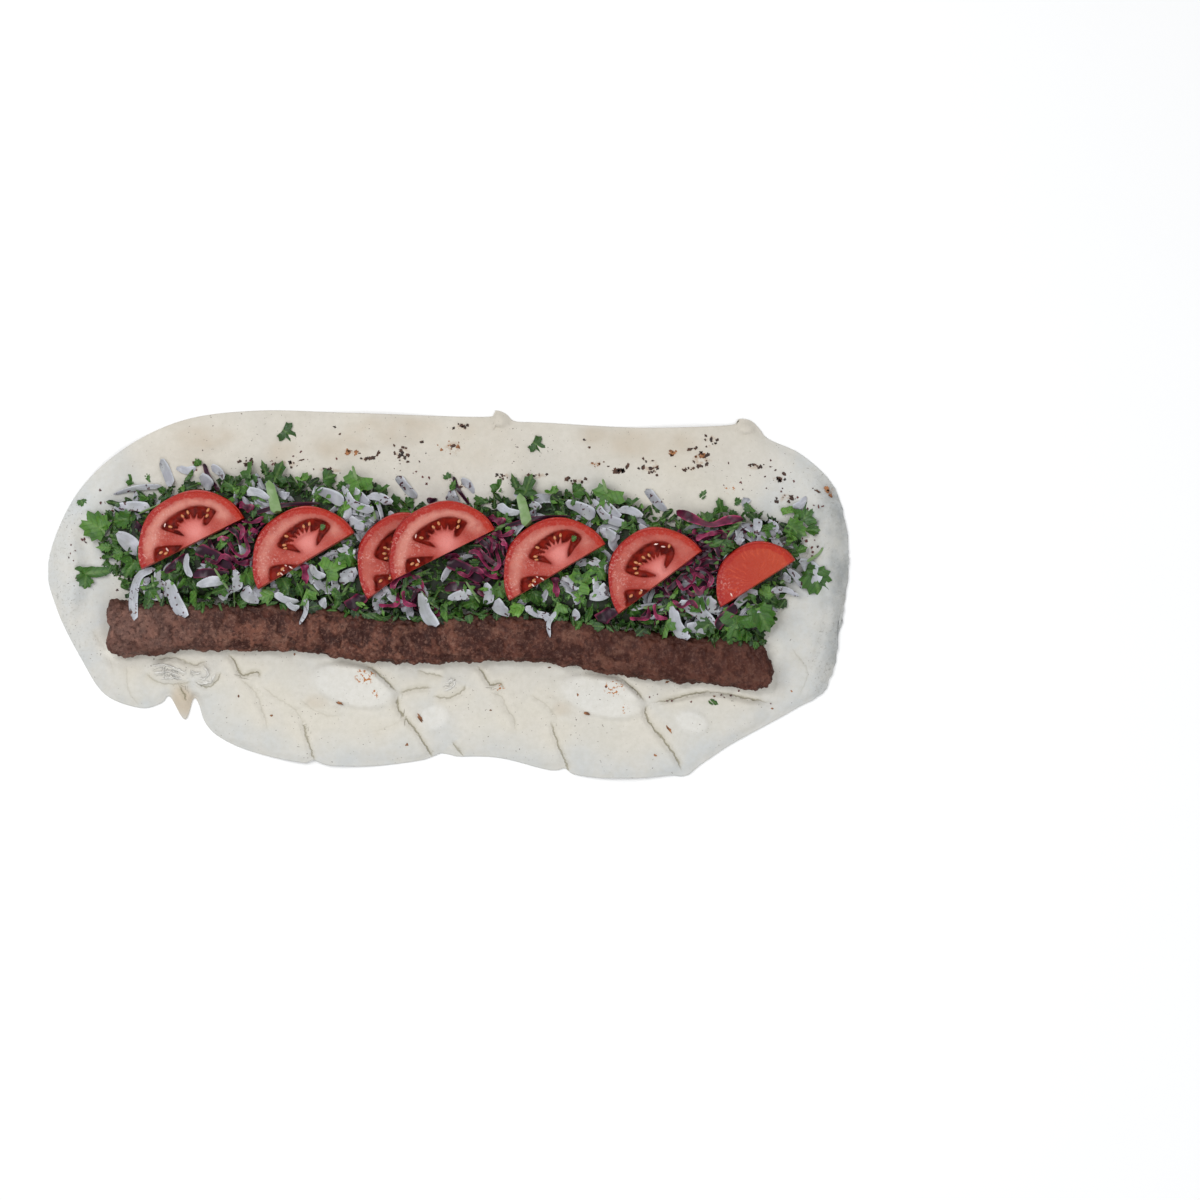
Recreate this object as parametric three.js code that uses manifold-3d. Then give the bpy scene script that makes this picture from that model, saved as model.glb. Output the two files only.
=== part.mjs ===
// An open flatbread wrap: a thin folded flatbread carries a long minced-meat kebab, a heap of onion,
// parsley and red-cabbage salad, seven half slices of tomato and a few loose parsley leaves.
// Millimetres, +Z up. The origin is under the middle of the bread, on the surface that it lies on.
// +X runs along the kebab, and +Y points from the kebab to the salad.
import * as THREE from "three";
import { mergeVertices } from "three/addons/utils/BufferGeometryUtils.js";
import Module from "manifold-3d";

const manifold = await Module();
manifold.setup();

// ---------------------------------------------------------------- driving dimensions
const BREAD_LENGTH = 458;
const BREAD_WIDTH = 212;
const SHEET = 2.2; // thickness of the flatbread
const SHEET_EDGE = 1.3; // its thickness right at the rim
const CLEAR = 0.35; // air between two pieces that touch on the real food
const BED = SHEET + CLEAR; // where the load stands

const KEBAB_WIDTH = 28;
const KEBAB_HEIGHT = 13.5;
const KEBAB_PRESS = 23; // spacing of the dents that the cook's fingers leave

const HEAP_HEIGHT = 12.5; // bare core of the salad
const HEAP_SLOPE = 26; // how far in from its free edge the core reaches full height
const HEAP_WALL = 9; // the same on the kebab's side, where the salad is pressed against the meat

const TOMATO_THICKNESS = 6;

const { sin, cos, abs, min, max, hypot, PI, sign, pow, exp, ceil, round } = Math;
const smoothstep = THREE.MathUtils.smoothstep;

// ---------------------------------------------------------------- places, going by the bread's plan
// The bread's outline, counter-clockwise from its left end, in shares of half its length and width.
const OUTLINE = [
  [-1.0, 0.167], [-0.978, -0.091], [-0.915, -0.366], [-0.858, -0.548], [-0.771, -0.62],
  [-0.718, -0.594], [-0.697, -0.557], [-0.659, -0.684], [-0.635, -0.56], [-0.62, -0.6],
  [-0.613, -0.712], [-0.572, -0.778], [-0.493, -0.855], [-0.356, -0.919], [-0.194, -0.935],
  [-0.02, -0.892], [0.117, -0.887], [0.254, -0.957], [0.403, -1.0], [0.582, -0.968],
  [0.714, -0.806], [0.863, -0.629], [0.945, -0.505], [0.98, -0.172], [1.0, 0.204],
  [0.97, 0.543], [0.888, 0.737], [0.8, 0.83], [0.777, 0.885], [0.755, 0.93],
  [0.725, 0.939], [0.697, 0.905], [0.478, 0.892], [0.241, 0.919], [0.166, 0.927],
  [0.145, 0.965], [0.122, 0.985], [0.1, 0.978], [0.083, 0.95], [-0.256, 0.973],
  [-0.48, 0.984], [-0.667, 0.93], [-0.821, 0.763], [-0.935, 0.516],
];
// Notches where a fold meets the rim, and corners that stand out of it.
const RIM_DETAILS = [
  { at: [-76, -97], out: -3, wide: 4 }, { at: [-4, -94], out: -2.5, wide: 7 },
  { at: [66, -102], out: -3, wide: 4 }, { at: [137, -101], out: 3, wide: 6 },
];
// Lines where the bread doubles over itself, between the kebab and the near rim. A positive rise
// puffs up the bread on the right-hand side of the line.
const FOLDS = [
  { line: [[-76, -38], [-56, -39], [-42, -47], [-31, -56], [-27, -60]], deep: 1.6, rise: 2.6 },
  { line: [[-27, -60], [-23, -74], [-18, -80], [-12, -88], [-5, -95]], deep: 1.8, rise: 0.8 },
  { line: [[13, -55], [-2, -54], [-16, -56], [-27, -60]], deep: 1.2, rise: -2 },
  { line: [[68, -42], [87, -44], [100, -51], [110, -60], [114, -64]], deep: 1.6, rise: 2.6 },
  { line: [[114, -64], [118, -77], [124, -86], [129, -95], [136, -104]], deep: 1.8, rise: 0.8 },
  { line: [[186, -63], [169, -60], [150, -57], [127, -61], [114, -64]], deep: 1.4, rise: -2.2 },
  { line: [[-130, -34], [-124, -41], [-120, -47], [-112, -44], [-106, -51], [-93, -56]], deep: 1.8,
    rise: 1.6 },
  { line: [[11, -40], [18, -48], [23, -53], [30, -50], [35, -58], [48, -63]], deep: 1.8, rise: 1.6 },
  { line: [[-83, -58], [-82, -78], [-79, -89], [-76, -98]], deep: 1.6, rise: 0.6 },
  { line: [[59, -64], [61, -81], [63, -93], [66, -103]], deep: 1.6, rise: 0.6 },
  { line: [[1, -84], [8, -94]], deep: 1.4, rise: 0.5 },
  { line: [[-164, -37], [-153, -41], [-141, -40], [-133, -45], [-139, -51], [-149, -51]], deep: 1.8,
    rise: 1.8 },
  { line: [[-152, -49], [-155, -56], [-148, -61], [-144, -66]], deep: 1.6, rise: -1.4 },
];
// Air pockets in the sheet, as flat-topped domes.
const POCKETS = [
  { at: [-61, -55], size: [27, 12], turn: -0.2, rise: 2.4 },
  { at: [81, -56], size: [27, 12], turn: -0.2, rise: 2.4 },
  { at: [140, -73], size: [13, 9], turn: -0.3, rise: 1.8 },
  { at: [-2, -72], size: [11, 8], turn: 0.2, rise: 1.5 },
  { at: [-113, -72], size: [24, 12], turn: -0.5, rise: 2 },
  { at: [30, -76], size: [22, 13], turn: -0.2, rise: 2 },
  { at: [97, -88], size: [24, 9], turn: 0.1, rise: 1.8 },
  { at: [-45, -87], size: [24, 8], turn: 0, rise: 1.8 },
  { at: [-184, -50], size: [16, 10], turn: -0.7, rise: 1.8 },
  { at: [168, -72], size: [17, 8], turn: 0.5, rise: 1.8 },
  { at: [-40, 89], size: [24, 7], turn: 0, rise: 1.6 },
  { at: [106, 82], size: [26, 8], turn: 0, rise: 1.6 },
  { at: [-141, 86], size: [20, 8], turn: 0.3, rise: 1.4 },
  { at: [29, 98], size: [9, 7], turn: 0, rise: 2.4 },
  { at: [170, 94], size: [9, 7], turn: 0, rise: 2.4 },
];
const KEBAB_LINE = [
  [-194, -19], [-141, -19], [-84, -20], [-50, -25], [-16, -27],
  [30, -25], [64, -27], [98, -33], [144, -38], [185, -42],
];
// The heap's outline: from -176 to 186 in x its lower side is pressed against the kebab.
const HEAP_OUTLINE = [
  [-200, 33], [-190, 11], [-174, -4], [-141, -8], [-84, -10], [-46, -14], [-5, -16], [50, -16],
  [98, -22], [144, -27], [180, -28], [194, -9], [203, 16], [198, 34], [172, 44], [132, 44],
  [92, 54], [52, 57], [18, 52], [-10, 48], [-44, 58], [-79, 64], [-124, 65], [-162, 59], [-188, 50],
];
const KEBAB_SIDE = { from: -176, to: 186 };
// Half slices of tomato: the middle of the cut edge, half its length, how high the arc stands over it
// as a share of that, how the cut edge turns, and how the slice leans.
const TOMATOES = [
  { at: [-144.7, 27.5], half: 33, tall: 0.87, turn: 0.463, lean: [-0.1, 0.05] },
  { at: [-80.4, 17.7], half: 32.2, tall: 0.9, turn: 0.532, lean: [-0.11, 0.04] },
  { at: [-21.7, 13.9], half: 30.1, tall: 1, turn: 0.646, lean: [-0.1, 0.05] },
  { at: [-2.5, 21.2], half: 33, tall: 0.87, turn: 0.463, lean: [-0.02, 0.13] },
  { at: [62.1, 11.2], half: 32.2, tall: 0.9, turn: 0.532, lean: [-0.11, 0.05] },
  { at: [120.8, 5.6], half: 30.1, tall: 1, turn: 0.646, lean: [-0.13, -0.04] },
  { at: [176.4, 4.8], half: 25.4, tall: 0.9, turn: 0.569, lean: [-0.14, -0.05], endSlice: true },
];
// Parsley leaves that lie by themselves on the bread.
const LOOSE_LEAVES = [
  { at: [-93, 92], turn: -0.6, size: [14, 9] }, { at: [50, 85], turn: -0.6, size: [14, 9] },
  { at: [2, 60], turn: 1.2, size: [9, 7] }, { at: [145, 55], turn: 1.2, size: [10, 7] },
  { at: [-210, 53], turn: -1.0, size: [7, 5] }, { at: [-204, 10], turn: 0.35, size: [18, 7] },
  { at: [150, -62], turn: -0.3, size: [10, 4] }, { at: [164, 52], turn: 0.4, size: [7, 5] },
];
// Salad pieces that stand out in the heap: ends of onion strips, places of leaves, lines of cabbage.
const ONION_STRIPS = [
  { line: [[-165, 76], [-160, 66], [-152, 53]], wide: 7 },
  { line: [[-193, 53], [-181, 55], [-166, 54]], wide: 4 },
  { line: [[-191, 45], [-180, 49], [-169, 46]], wide: 7 },
  { line: [[-190, 38], [-185, 29], [-175, 24]], wide: 8 },
  { line: [[-183, 13], [-180, 0], [-179, -13]], wide: 6, over: true },
  { line: [[-157, 8], [-155, -3], [-148, -12]], wide: 8, over: true },
  { line: [[-14, 3], [-11, -8], [-6, -16]], wide: 8, over: true },
  { line: [[-80, 0], [-82, -9], [-84, -17]], wide: 4, over: true },
  { line: [[64, -6], [62, -14], [59, -22]], wide: 4, over: true },
  { line: [[-70, 52], [-58, 44], [-46, 38]], wide: 7 }, { line: [[74, 50], [86, 44], [98, 40]], wide: 7 },
  { line: [[163, 26], [156, 14], [146, 5]], wide: 6 }, { line: [[186, 44], [181, 35], [177, 27]], wide: 6 },
  { line: [[199, 58], [197, 50], [194, 42]], wide: 5 }, { line: [[-118, 3], [-108, 4], [-98, 1]], wide: 7 },
];
const BIG_LEAVES = [
  { at: [-197, 36], turn: 0.3, size: [17, 15] }, { at: [-180, 57], turn: 1.5, size: [10, 6] },
  { at: [-100, 52], turn: -1.3, size: [19, 7] }, { at: [-42, 60], turn: 0.4, size: [17, 12] },
  { at: [42, 48], turn: -1.3, size: [19, 7] }, { at: [101, 50], turn: 0.4, size: [16, 12] },
  { at: [196, 36], turn: 0.6, size: [19, 13] }, { at: [186, -12], turn: 0.7, size: [22, 15] },
  { at: [201, 4], turn: 0.9, size: [16, 14] }, { at: [-101, 0], turn: 0.9, size: [9, 9] },
  { at: [-82, 3], turn: 0.2, size: [12, 9] }, { at: [62, -3], turn: 0.2, size: [12, 9] },
];
const CABBAGE_CURLS = [
  { at: [-114, 26], reach: 10, turns: 1.1, turn: 0.2 }, { at: [30, 20], reach: 10, turns: 1.1, turn: 0.2 },
  { at: [-126, 13], reach: 9, turns: 0.3, turn: -0.5 }, { at: [16, 7], reach: 9, turns: 0.3, turn: -0.5 },
  { at: [150, 43], reach: 17, turns: 0.45, turn: -0.25 },
  { at: [152, 30], reach: 13, turns: 0.3, turn: 0.2 },
  { at: [-56, -3], reach: 7, turns: 0.2, turn: 0.6 }, { at: [86, -9], reach: 7, turns: 0.2, turn: 0.6 },
  { at: [128, -8], reach: 10, turns: 0.9, turn: 0.1 }, { at: [141, 4], reach: 9, turns: 0.8, turn: 0.9 },
  { at: [163, -9], reach: 11, turns: 0.25, turn: 0.9 }, { at: [-160, 21], reach: 6, turns: 0.3, turn: 0.7 },
];
const SCATTERED = { leaves: 50, onion: 16, cabbage: 6, seed: 23 };

// ---------------------------------------------------------------- small tools
// The same numbers between 0 and 1 on every run.
function seededRandom(seed) {
  let state = seed;
  return () => {
    state = (state + 0x6d2b79f5) | 0;
    let mixed = Math.imul(state ^ (state >>> 15), 1 | state);
    mixed = (mixed + Math.imul(mixed ^ (mixed >>> 7), 61 | mixed)) ^ mixed;
    return ((mixed ^ (mixed >>> 14)) >>> 0) / 4294967296;
  };
}

const flat = ([x, y]) => new THREE.Vector3(x, y, 0);
const curveThrough = (points, closed = false) =>
  new THREE.CatmullRomCurve3(points.map(flat), closed, "catmullrom", 0.5);

// A closed surface over a run of rings with the same number of points. Its two ends are closed by
// triangles to a centre point, or, without one, by triangles between the ring's own points.
function skin(rings, firstCentre = null, lastCentre = null) {
  const count = rings[0].length;
  const points = rings.flat();
  const faces = [];
  for (let r = 0; r + 1 < rings.length; r++)
    for (let i = 0; i < count; i++) {
      const a = r * count + i;
      const b = r * count + ((i + 1) % count);
      faces.push([a, b, b + count], [a, b + count, a + count]);
    }
  const close = (ring, start, centre, turned) => {
    let fan = [[0, 1, 2], [0, 2, 3]];
    if (centre) {
      points.push(centre);
      fan = ring.map((_, i) => [points.length - 1 - start, i, (i + 1) % count]);
    } else if (count > 4) fan = THREE.ShapeUtils.triangulateShape(ring, []);
    for (const [a, b, c] of fan)
      faces.push((turned ? [a, c, b] : [a, b, c]).map((corner) => start + corner));
  };
  close(rings[0], 0, firstCentre, true);
  close(rings[rings.length - 1], (rings.length - 1) * count, lastCentre, false);
  const volume = faces.reduce(
    (sum, [a, b, c]) => sum + points[a].dot(points[b].clone().cross(points[c])),
    0,
  );
  if (volume < 0) faces.forEach((face) => face.reverse());
  const geometry = new THREE.BufferGeometry();
  geometry.setAttribute(
    "position",
    new THREE.Float32BufferAttribute(points.flatMap((p) => [p.x, p.y, p.z]), 3),
  );
  geometry.setIndex(faces.flat());
  return geometry;
}

// A closed geometry as a manifold-3d solid, and back.
function solidOf(geometry) {
  const bare = new THREE.BufferGeometry();
  bare.setAttribute("position", geometry.getAttribute("position"));
  bare.setIndex(geometry.index);
  const merged = mergeVertices(bare, 1e-4);
  return new manifold.Manifold(
    new manifold.Mesh({
      numProp: 3,
      vertProperties: new Float32Array(merged.attributes.position.array),
      triVerts: new Uint32Array(merged.index.array),
    }),
  );
}

function geometryOf(solid) {
  const mesh = solid.getMesh();
  const geometry = new THREE.BufferGeometry();
  geometry.setAttribute("position", new THREE.BufferAttribute(mesh.vertProperties, 3));
  geometry.setIndex(new THREE.BufferAttribute(mesh.triVerts, 1));
  return geometry;
}

// Distance from a place to a broken line, with the side of it: positive on the right.
function besideLine(line, x, y, closed = false) {
  let best = Infinity;
  let side = 1;
  const last = closed ? line.length : line.length - 1;
  for (let i = 0; i < last; i++) {
    const a = line[i];
    const b = line[(i + 1) % line.length];
    const along = { x: b.x - a.x, y: b.y - a.y };
    const to = { x: x - a.x, y: y - a.y };
    const length2 = along.x ** 2 + along.y ** 2;
    const share = min(1, max(0, (along.x * to.x + along.y * to.y) / length2));
    const away = hypot(to.x - along.x * share, to.y - along.y * share);
    if (away < best) {
      best = away;
      side = sign(along.y * to.x - along.x * to.y) || 1;
    }
  }
  return { away: best, side };
}

// Distance inside a closed outline: positive inside, negative outside.
function depthInside(outline, x, y) {
  let inside = false;
  for (let i = 0, j = outline.length - 1; i < outline.length; j = i++) {
    const a = outline[i];
    const b = outline[j];
    if (a.y > y !== b.y > y && x < ((b.x - a.x) * (y - a.y)) / (b.y - a.y) + a.x) inside = !inside;
  }
  return besideLine(outline, x, y, true).away * (inside ? 1 : -1);
}

// ---------------------------------------------------------------- kebab
const kebabCurve = curveThrough(KEBAB_LINE);
const KEBAB_STEPS = 58;
const KEBAB_SIDES = 12;
const KEBAB_SQUARENESS = 0.62; // below 1, the section is a rounded bar
const KEBAB_CRAG = 1.8; // depth of the coarse grain of the meat
const KEBAB_NOSE = 2; // how far each blunt end swells out

// Half the kebab's width at a share of its length: pressed by fingers, fuller at the two ends.
function kebabHalfWidth(share) {
  const along = share * kebabCurve.getLength();
  const ends = 0.06 * (exp(-pow(share / 0.08, 2)) + exp(-pow((1 - share) / 0.1, 2)));
  const press = 0.025 * sin((2 * PI * along) / KEBAB_PRESS) + 0.02 * sin(along / 17 + 1);
  return (KEBAB_WIDTH / 2) * (0.96 + ends + press);
}

function kebab() {
  const random = seededRandom(7);
  const superRound = (v) => sign(v) * pow(abs(v), KEBAB_SQUARENESS);
  const length = kebabCurve.getLength();
  const rings = Array.from({ length: KEBAB_STEPS + 1 }, (_, i) => {
    const isEnd = i === 0 || i === KEBAB_STEPS;
    const share = isEnd ? i / KEBAB_STEPS : (i + 0.5 * (random() - 0.5)) / KEBAB_STEPS;
    const middle = kebabCurve.getPointAt(share);
    const along = kebabCurve.getTangentAt(share);
    const across = new THREE.Vector3(-along.y, along.x, 0);
    const dent = 0.05 * sin((2 * PI * share * length) / KEBAB_PRESS + 1) + 0.03 * sin(share * 61);
    const half = kebabHalfWidth(share) * (isEnd ? 0.82 : 1);
    const height = KEBAB_HEIGHT * (1 + dent) * (isEnd ? 0.84 : 1);
    return Array.from({ length: KEBAB_SIDES }, (_, s) => {
      const angle = (2 * PI * (s + 0.5)) / KEBAB_SIDES;
      const crag = KEBAB_CRAG * (random() - 0.6);
      const out = superRound(cos(angle)) * half + crag * cos(angle);
      const up = (height / 2) * (1 + superRound(sin(angle))) + (sin(angle) > 0 ? crag : 0);
      const low = sin(angle) < -0.9;
      const point = middle.clone().addScaledVector(across, out).setZ(BED + (low ? 0 : up));
      return isEnd ? point : point.addScaledVector(along, 1.6 * crag);
    });
  });
  const endCentre = (share, beyond) =>
    kebabCurve
      .getPointAt(share)
      .addScaledVector(kebabCurve.getTangentAt(share), beyond)
      .setZ(BED + KEBAB_HEIGHT * 0.45);
  return skin(rings, endCentre(0, -KEBAB_NOSE), endCentre(1, KEBAB_NOSE));
}

const kebabPlan = [1, -1].flatMap((side) => {
  const steps = Array.from({ length: 49 }, (_, i) => i / 48);
  if (side < 0) steps.reverse();
  return steps.map((share) => {
    const along = kebabCurve.getTangentAt(share);
    const across = new THREE.Vector3(along.y, -along.x, 0).multiplyScalar(side);
    return kebabCurve.getPointAt(share).addScaledVector(across, kebabHalfWidth(share));
  });
});

// ---------------------------------------------------------------- bare core of the salad heap
const MEAT_ROUGHNESS = 1.2; // how far the kebab's grain can stand out of its plan
const heapPlan = curveThrough(HEAP_OUTLINE, true).getPoints(100).slice(0, -1);
for (const point of heapPlan)
  while (depthInside(kebabPlan, point.x, point.y) > -MEAT_ROUGHNESS) point.y += 0.25;

// Height of the core's top over the bed.
function heapHeight(x, y) {
  if (depthInside(heapPlan, x, y) < 0) return 0;
  const freeEdge = heapPlan.filter((p) => p.y > 14 || p.x < KEBAB_SIDE.from || p.x > KEBAB_SIDE.to);
  const toFree = min(...freeEdge.map((p) => hypot(p.x - x, p.y - y)));
  const toWall = depthInside(heapPlan, x, y);
  const climb = (away) => 1 - pow(1 - min(1, away), 2.2);
  const uneven = 1 + 0.05 * sin(x / 13 + 1) * cos(y / 11) + 0.06 * sin(x / 29);
  return HEAP_HEIGHT * min(climb(toFree / HEAP_SLOPE), climb(toWall / HEAP_WALL)) * uneven;
}

function heapCore() {
  const RING_SHARES = [1, 0.93, 0.8, 0.6, 0.36]; // of the way from the middle line to the edge
  const HOLLOWS = 0.22; // the core's top dips by up to this share of its height
  const random = seededRandom(5);
  const stations = heapPlan.filter((_, i) => i % 2 === 0);
  const rings = [stations.map((p) => p.clone().setZ(BED))];
  for (const share of RING_SHARES) {
    rings.push(
      stations.map((p) => {
        const x = p.x * (0.7 + 0.3 * share);
        const middle = 21 - 0.07 * x;
        const y = middle + (p.y - middle) * share;
        const lip = share === 1 ? 1.5 : 0; // so that the edge has a small upright face
        return new THREE.Vector3(x, y, BED + max(lip, heapHeight(x, y) * (1 - HOLLOWS * random())));
      }),
    );
  }
  return skin(rings);
}

const coreMesh = new THREE.Mesh(heapCore());
const probe = new THREE.Raycaster();

// Where the finished core's top lies at a place, or null beside the core.
function coreTop(x, y) {
  probe.set(new THREE.Vector3(x, y, 4 * HEAP_HEIGHT), new THREE.Vector3(0, 0, -1));
  const [hit] = probe.intersectObject(coreMesh);
  return hit ? hit.point.z : null;
}

// ---------------------------------------------------------------- flatbread
const RIM_ARCH = { peak: 10, reach: 20 }; // the rim stands off the table a little way in from its edge
const RIM_STEP = { near: 6.4, far: 19 }; // spacing of the outline's points by the folds, and elsewhere
const TOP_SHARES = [0.38, 0.47, 0.55, 0.62, 0.69, 0.76, 0.83, 0.9, 0.96, 1];
const UNDER_SHARES = [0.38, 0.84, 1];
const CREASE_WIDTH = 4.6;
const PUFF_WIDTH = 13;

function breadOutline() {
  const corners = OUTLINE.map(([x, y]) => [(x * BREAD_LENGTH) / 2, (y * BREAD_WIDTH) / 2]);
  const curve = curveThrough(corners, true);
  const points = [];
  corners.forEach((from, i) => {
    const to = corners[(i + 1) % corners.length];
    const step = from[1] < -50 && to[1] < -50 ? RIM_STEP.near : RIM_STEP.far;
    const pieces = ceil(hypot(to[0] - from[0], to[1] - from[1]) / step);
    for (let k = 0; k < pieces; k++) {
      const share = (i + k / pieces) / corners.length;
      const point = curve.getPoint(share);
      const along = curve.getTangent(share);
      for (const { at, out, wide } of RIM_DETAILS) {
        const near = exp(-pow(hypot(point.x - at[0], point.y - at[1]) / wide, 2));
        point.addScaledVector(new THREE.Vector3(along.y, -along.x, 0), out * near);
      }
      points.push(point);
    }
  });
  return points;
}

// The outline drawn in towards the bread's middle.
const drawnIn = (point, share) =>
  new THREE.Vector3(point.x * (0.85 + 0.15 * share), 4 + (point.y - 4) * share, 0);

const breadPlan = breadOutline();
const bedPlan = breadPlan.map((point) => drawnIn(point, TOP_SHARES[0])); // flat inside this line
const foldLines = FOLDS.map(({ line, deep, rise }) => ({
  line: curveThrough(line).getPoints(4 * line.length),
  deep,
  rise,
}));

// 0 under the kebab, the heap and the middle of the bread, 1 well clear of them.
function clearOfLoad(x, y) {
  const load = max(depthInside(kebabPlan, x, y), depthInside(heapPlan, x, y));
  return smoothstep(-load, 2, 7) * smoothstep(-depthInside(bedPlan, x, y), 0, 5);
}

// How far the underside stands off the table: an arch behind the rim, highest at the two ends.
function breadLift(x, y, depth) {
  const arch = smoothstep(depth, 0, RIM_ARCH.peak) * (1 - smoothstep(depth, RIM_ARCH.peak, RIM_ARCH.reach));
  const ends = smoothstep(abs(x), 185, 215);
  const wave = 0.5 + 0.5 * sin(x / 19 + 1.3) * cos(x / 31 - 0.4);
  const curl = (1 - smoothstep(depth, 0, 16)) * pow(max(0, sin(x / 27 + y / 40 + 0.5)), 2);
  const lift = arch * (1.4 * wave + 4.2 * ends) + 2.2 * curl * (1 - ends);
  return lift * smoothstep(-depthInside(bedPlan, x, y), 0, 4);
}

// What the folds and the air pockets add to the sheet's top.
function breadRelief(x, y, depth) {
  let relief = 0.4 * (1 + sin(x / 14) * cos(y / 9));
  for (const { line, deep, rise } of foldLines) {
    const { away, side } = besideLine(line, x, y);
    relief -= deep * exp(-pow(away / CREASE_WIDTH, 2));
    if (side === sign(rise)) relief += abs(rise) * exp(-pow(away / PUFF_WIDTH, 2)) * smoothstep(away, 0, 3);
  }
  for (const { at, size, turn, rise } of POCKETS) {
    const dx = x - at[0];
    const dy = y - at[1];
    const u = (dx * cos(turn) + dy * sin(turn)) / size[0];
    const v = (dy * cos(turn) - dx * sin(turn)) / size[1];
    relief += rise * (1 - smoothstep(hypot(u, v), 0.55, 1.1));
  }
  return max(-0.7, relief) * clearOfLoad(x, y) * smoothstep(depth, 0, 5);
}

function breadTop(x, y) {
  const depth = max(0, depthInside(breadPlan, x, y));
  const sheet = SHEET_EDGE + (SHEET - SHEET_EDGE) * smoothstep(depth, 0, 6);
  return breadLift(x, y, depth) + sheet + breadRelief(x, y, depth);
}

function bread() {
  const ring = (share, heightAt) =>
    breadPlan.map((point) => {
      const { x, y } = drawnIn(point, share);
      const depth = share === 1 ? 0 : max(0, depthInside(breadPlan, x, y));
      return new THREE.Vector3(x, y, heightAt(x, y, depth));
    });
  const under = UNDER_SHARES.map((share) => ring(share, breadLift));
  const over = TOP_SHARES.map((share) =>
    ring(share, share === 1 ? (x, y) => SHEET_EDGE + breadLift(x, y, 0) : breadTop),
  );
  return skin([...under, ...over.reverse()]);
}

// ---------------------------------------------------------------- tomato slices
const ARC_STEPS = 14;
const CHORD_STEPS = 3;
const SEED_HOLLOW = 1.7; // how deep the seed pockets lie under the cut face
const SKIN_LEAN = { slice: 1.6, endSlice: 5 }; // how far the skin leans in over the slice's thickness

// The slice's plan at a height: an arc with its skin, and the straight cut.
function sliceRing(half, tall, inset, cutBack, height) {
  const arc = Array.from({ length: ARC_STEPS + 1 }, (_, i) => {
    const angle = (PI * i) / ARC_STEPS;
    const up = (half * tall - inset - cutBack) * sin(angle);
    return new THREE.Vector3((half - inset) * cos(angle), cutBack + up, height);
  });
  const chord = Array.from({ length: CHORD_STEPS }, (_, i) => {
    const share = (i + 1) / (CHORD_STEPS + 1);
    return new THREE.Vector3(half * (2 * share - 1), cutBack - 0.8 * sin(PI * share), height);
  });
  return [...arc, ...chord];
}

// The upper seed pocket is a crescent: an arc under the fruit's wall, and below it the core, whose
// fingers reach up into the pocket. The lower pocket is a leaf shape that the cut runs through.
const UPPER_POCKET = { middle: [0.12, 0.2], reach: [0.48, 0.4], from: -0.15, to: 3.2, core: 0.5,
  fingers: 0.16 };
const LOWER_POCKET = { middle: [-0.45, 0.04], size: [0.25, 0.12], turn: -0.45 };

function pocketSolid(points) {
  const shape = new THREE.Shape(points.map(([x, y]) => new THREE.Vector2(x, y)));
  const pocket = new THREE.ExtrudeGeometry(shape, { depth: 2 * SEED_HOLLOW, bevelEnabled: false });
  return solidOf(pocket.translate(0, 0, TOMATO_THICKNESS - SEED_HOLLOW));
}

function upperPocket(half, tall) {
  const { middle, reach, from, to, core, fingers } = UPPER_POCKET;
  const STEPS = 10;
  const place = (step, share) => {
    const angle = from + ((to - from) * step) / STEPS;
    return [
      half * (middle[0] + reach[0] * share * cos(angle)),
      half * tall * (middle[1] + reach[1] * share * sin(angle)),
    ];
  };
  const outer = Array.from({ length: STEPS + 1 }, (_, i) => place(i, 1));
  const inner = Array.from({ length: STEPS - 1 }, (_, i) => place(i + 1, core + fingers * (i % 2)));
  return pocketSolid([...outer, ...inner.reverse()]);
}

function lowerPocket(half, tall) {
  const { middle, size, turn } = LOWER_POCKET;
  const STEPS = 8;
  const points = Array.from({ length: STEPS }, (_, i) => {
    const angle = (2 * PI * i) / STEPS;
    const u = size[0] * cos(angle);
    const v = size[1] * sin(angle);
    const x = middle[0] + u * cos(turn) - v * sin(turn);
    const y = middle[1] + u * sin(turn) + v * cos(turn);
    return [half * x, half * tall * y];
  });
  return pocketSolid(points);
}

function tomatoSlice({ half, tall, endSlice = false }) {
  const lean = endSlice ? SKIN_LEAN.endSlice : SKIN_LEAN.slice;
  const slice = skin([
    sliceRing(half, tall, 0.7, 0, 0),
    sliceRing(half, tall, 0, 0.2, TOMATO_THICKNESS * 0.35),
    sliceRing(half, tall, lean, 0.6, TOMATO_THICKNESS),
  ]);
  if (endSlice) return slice;
  const pockets = [upperPocket(half, tall), lowerPocket(half, tall)];
  return geometryOf(pockets.reduce((solid, pocket) => solid.subtract(pocket), solidOf(slice)));
}

// Lowers a slice until it rests on the bare core: the height of its frame's origin.
function restOnHeap({ at, half, tall, turn, lean }) {
  const turned = new THREE.Euler(lean[0], lean[1], turn, "ZYX");
  let rest = 0;
  for (let u = -1; u <= 1; u += 0.125)
    for (let v = 0; v <= 1; v += 0.125) {
      if (u * u + v * v > 1) continue;
      const point = new THREE.Vector3(u * half, v * half * tall, 0).applyEuler(turned);
      rest = max(rest, (coreTop(at[0] + point.x, at[1] + point.y) ?? 0) - point.z);
    }
  return rest + 2 * CLEAR;
}

// ---------------------------------------------------------------- leaves and shreds
const LEAF_THICKNESS = 0.6;

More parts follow.
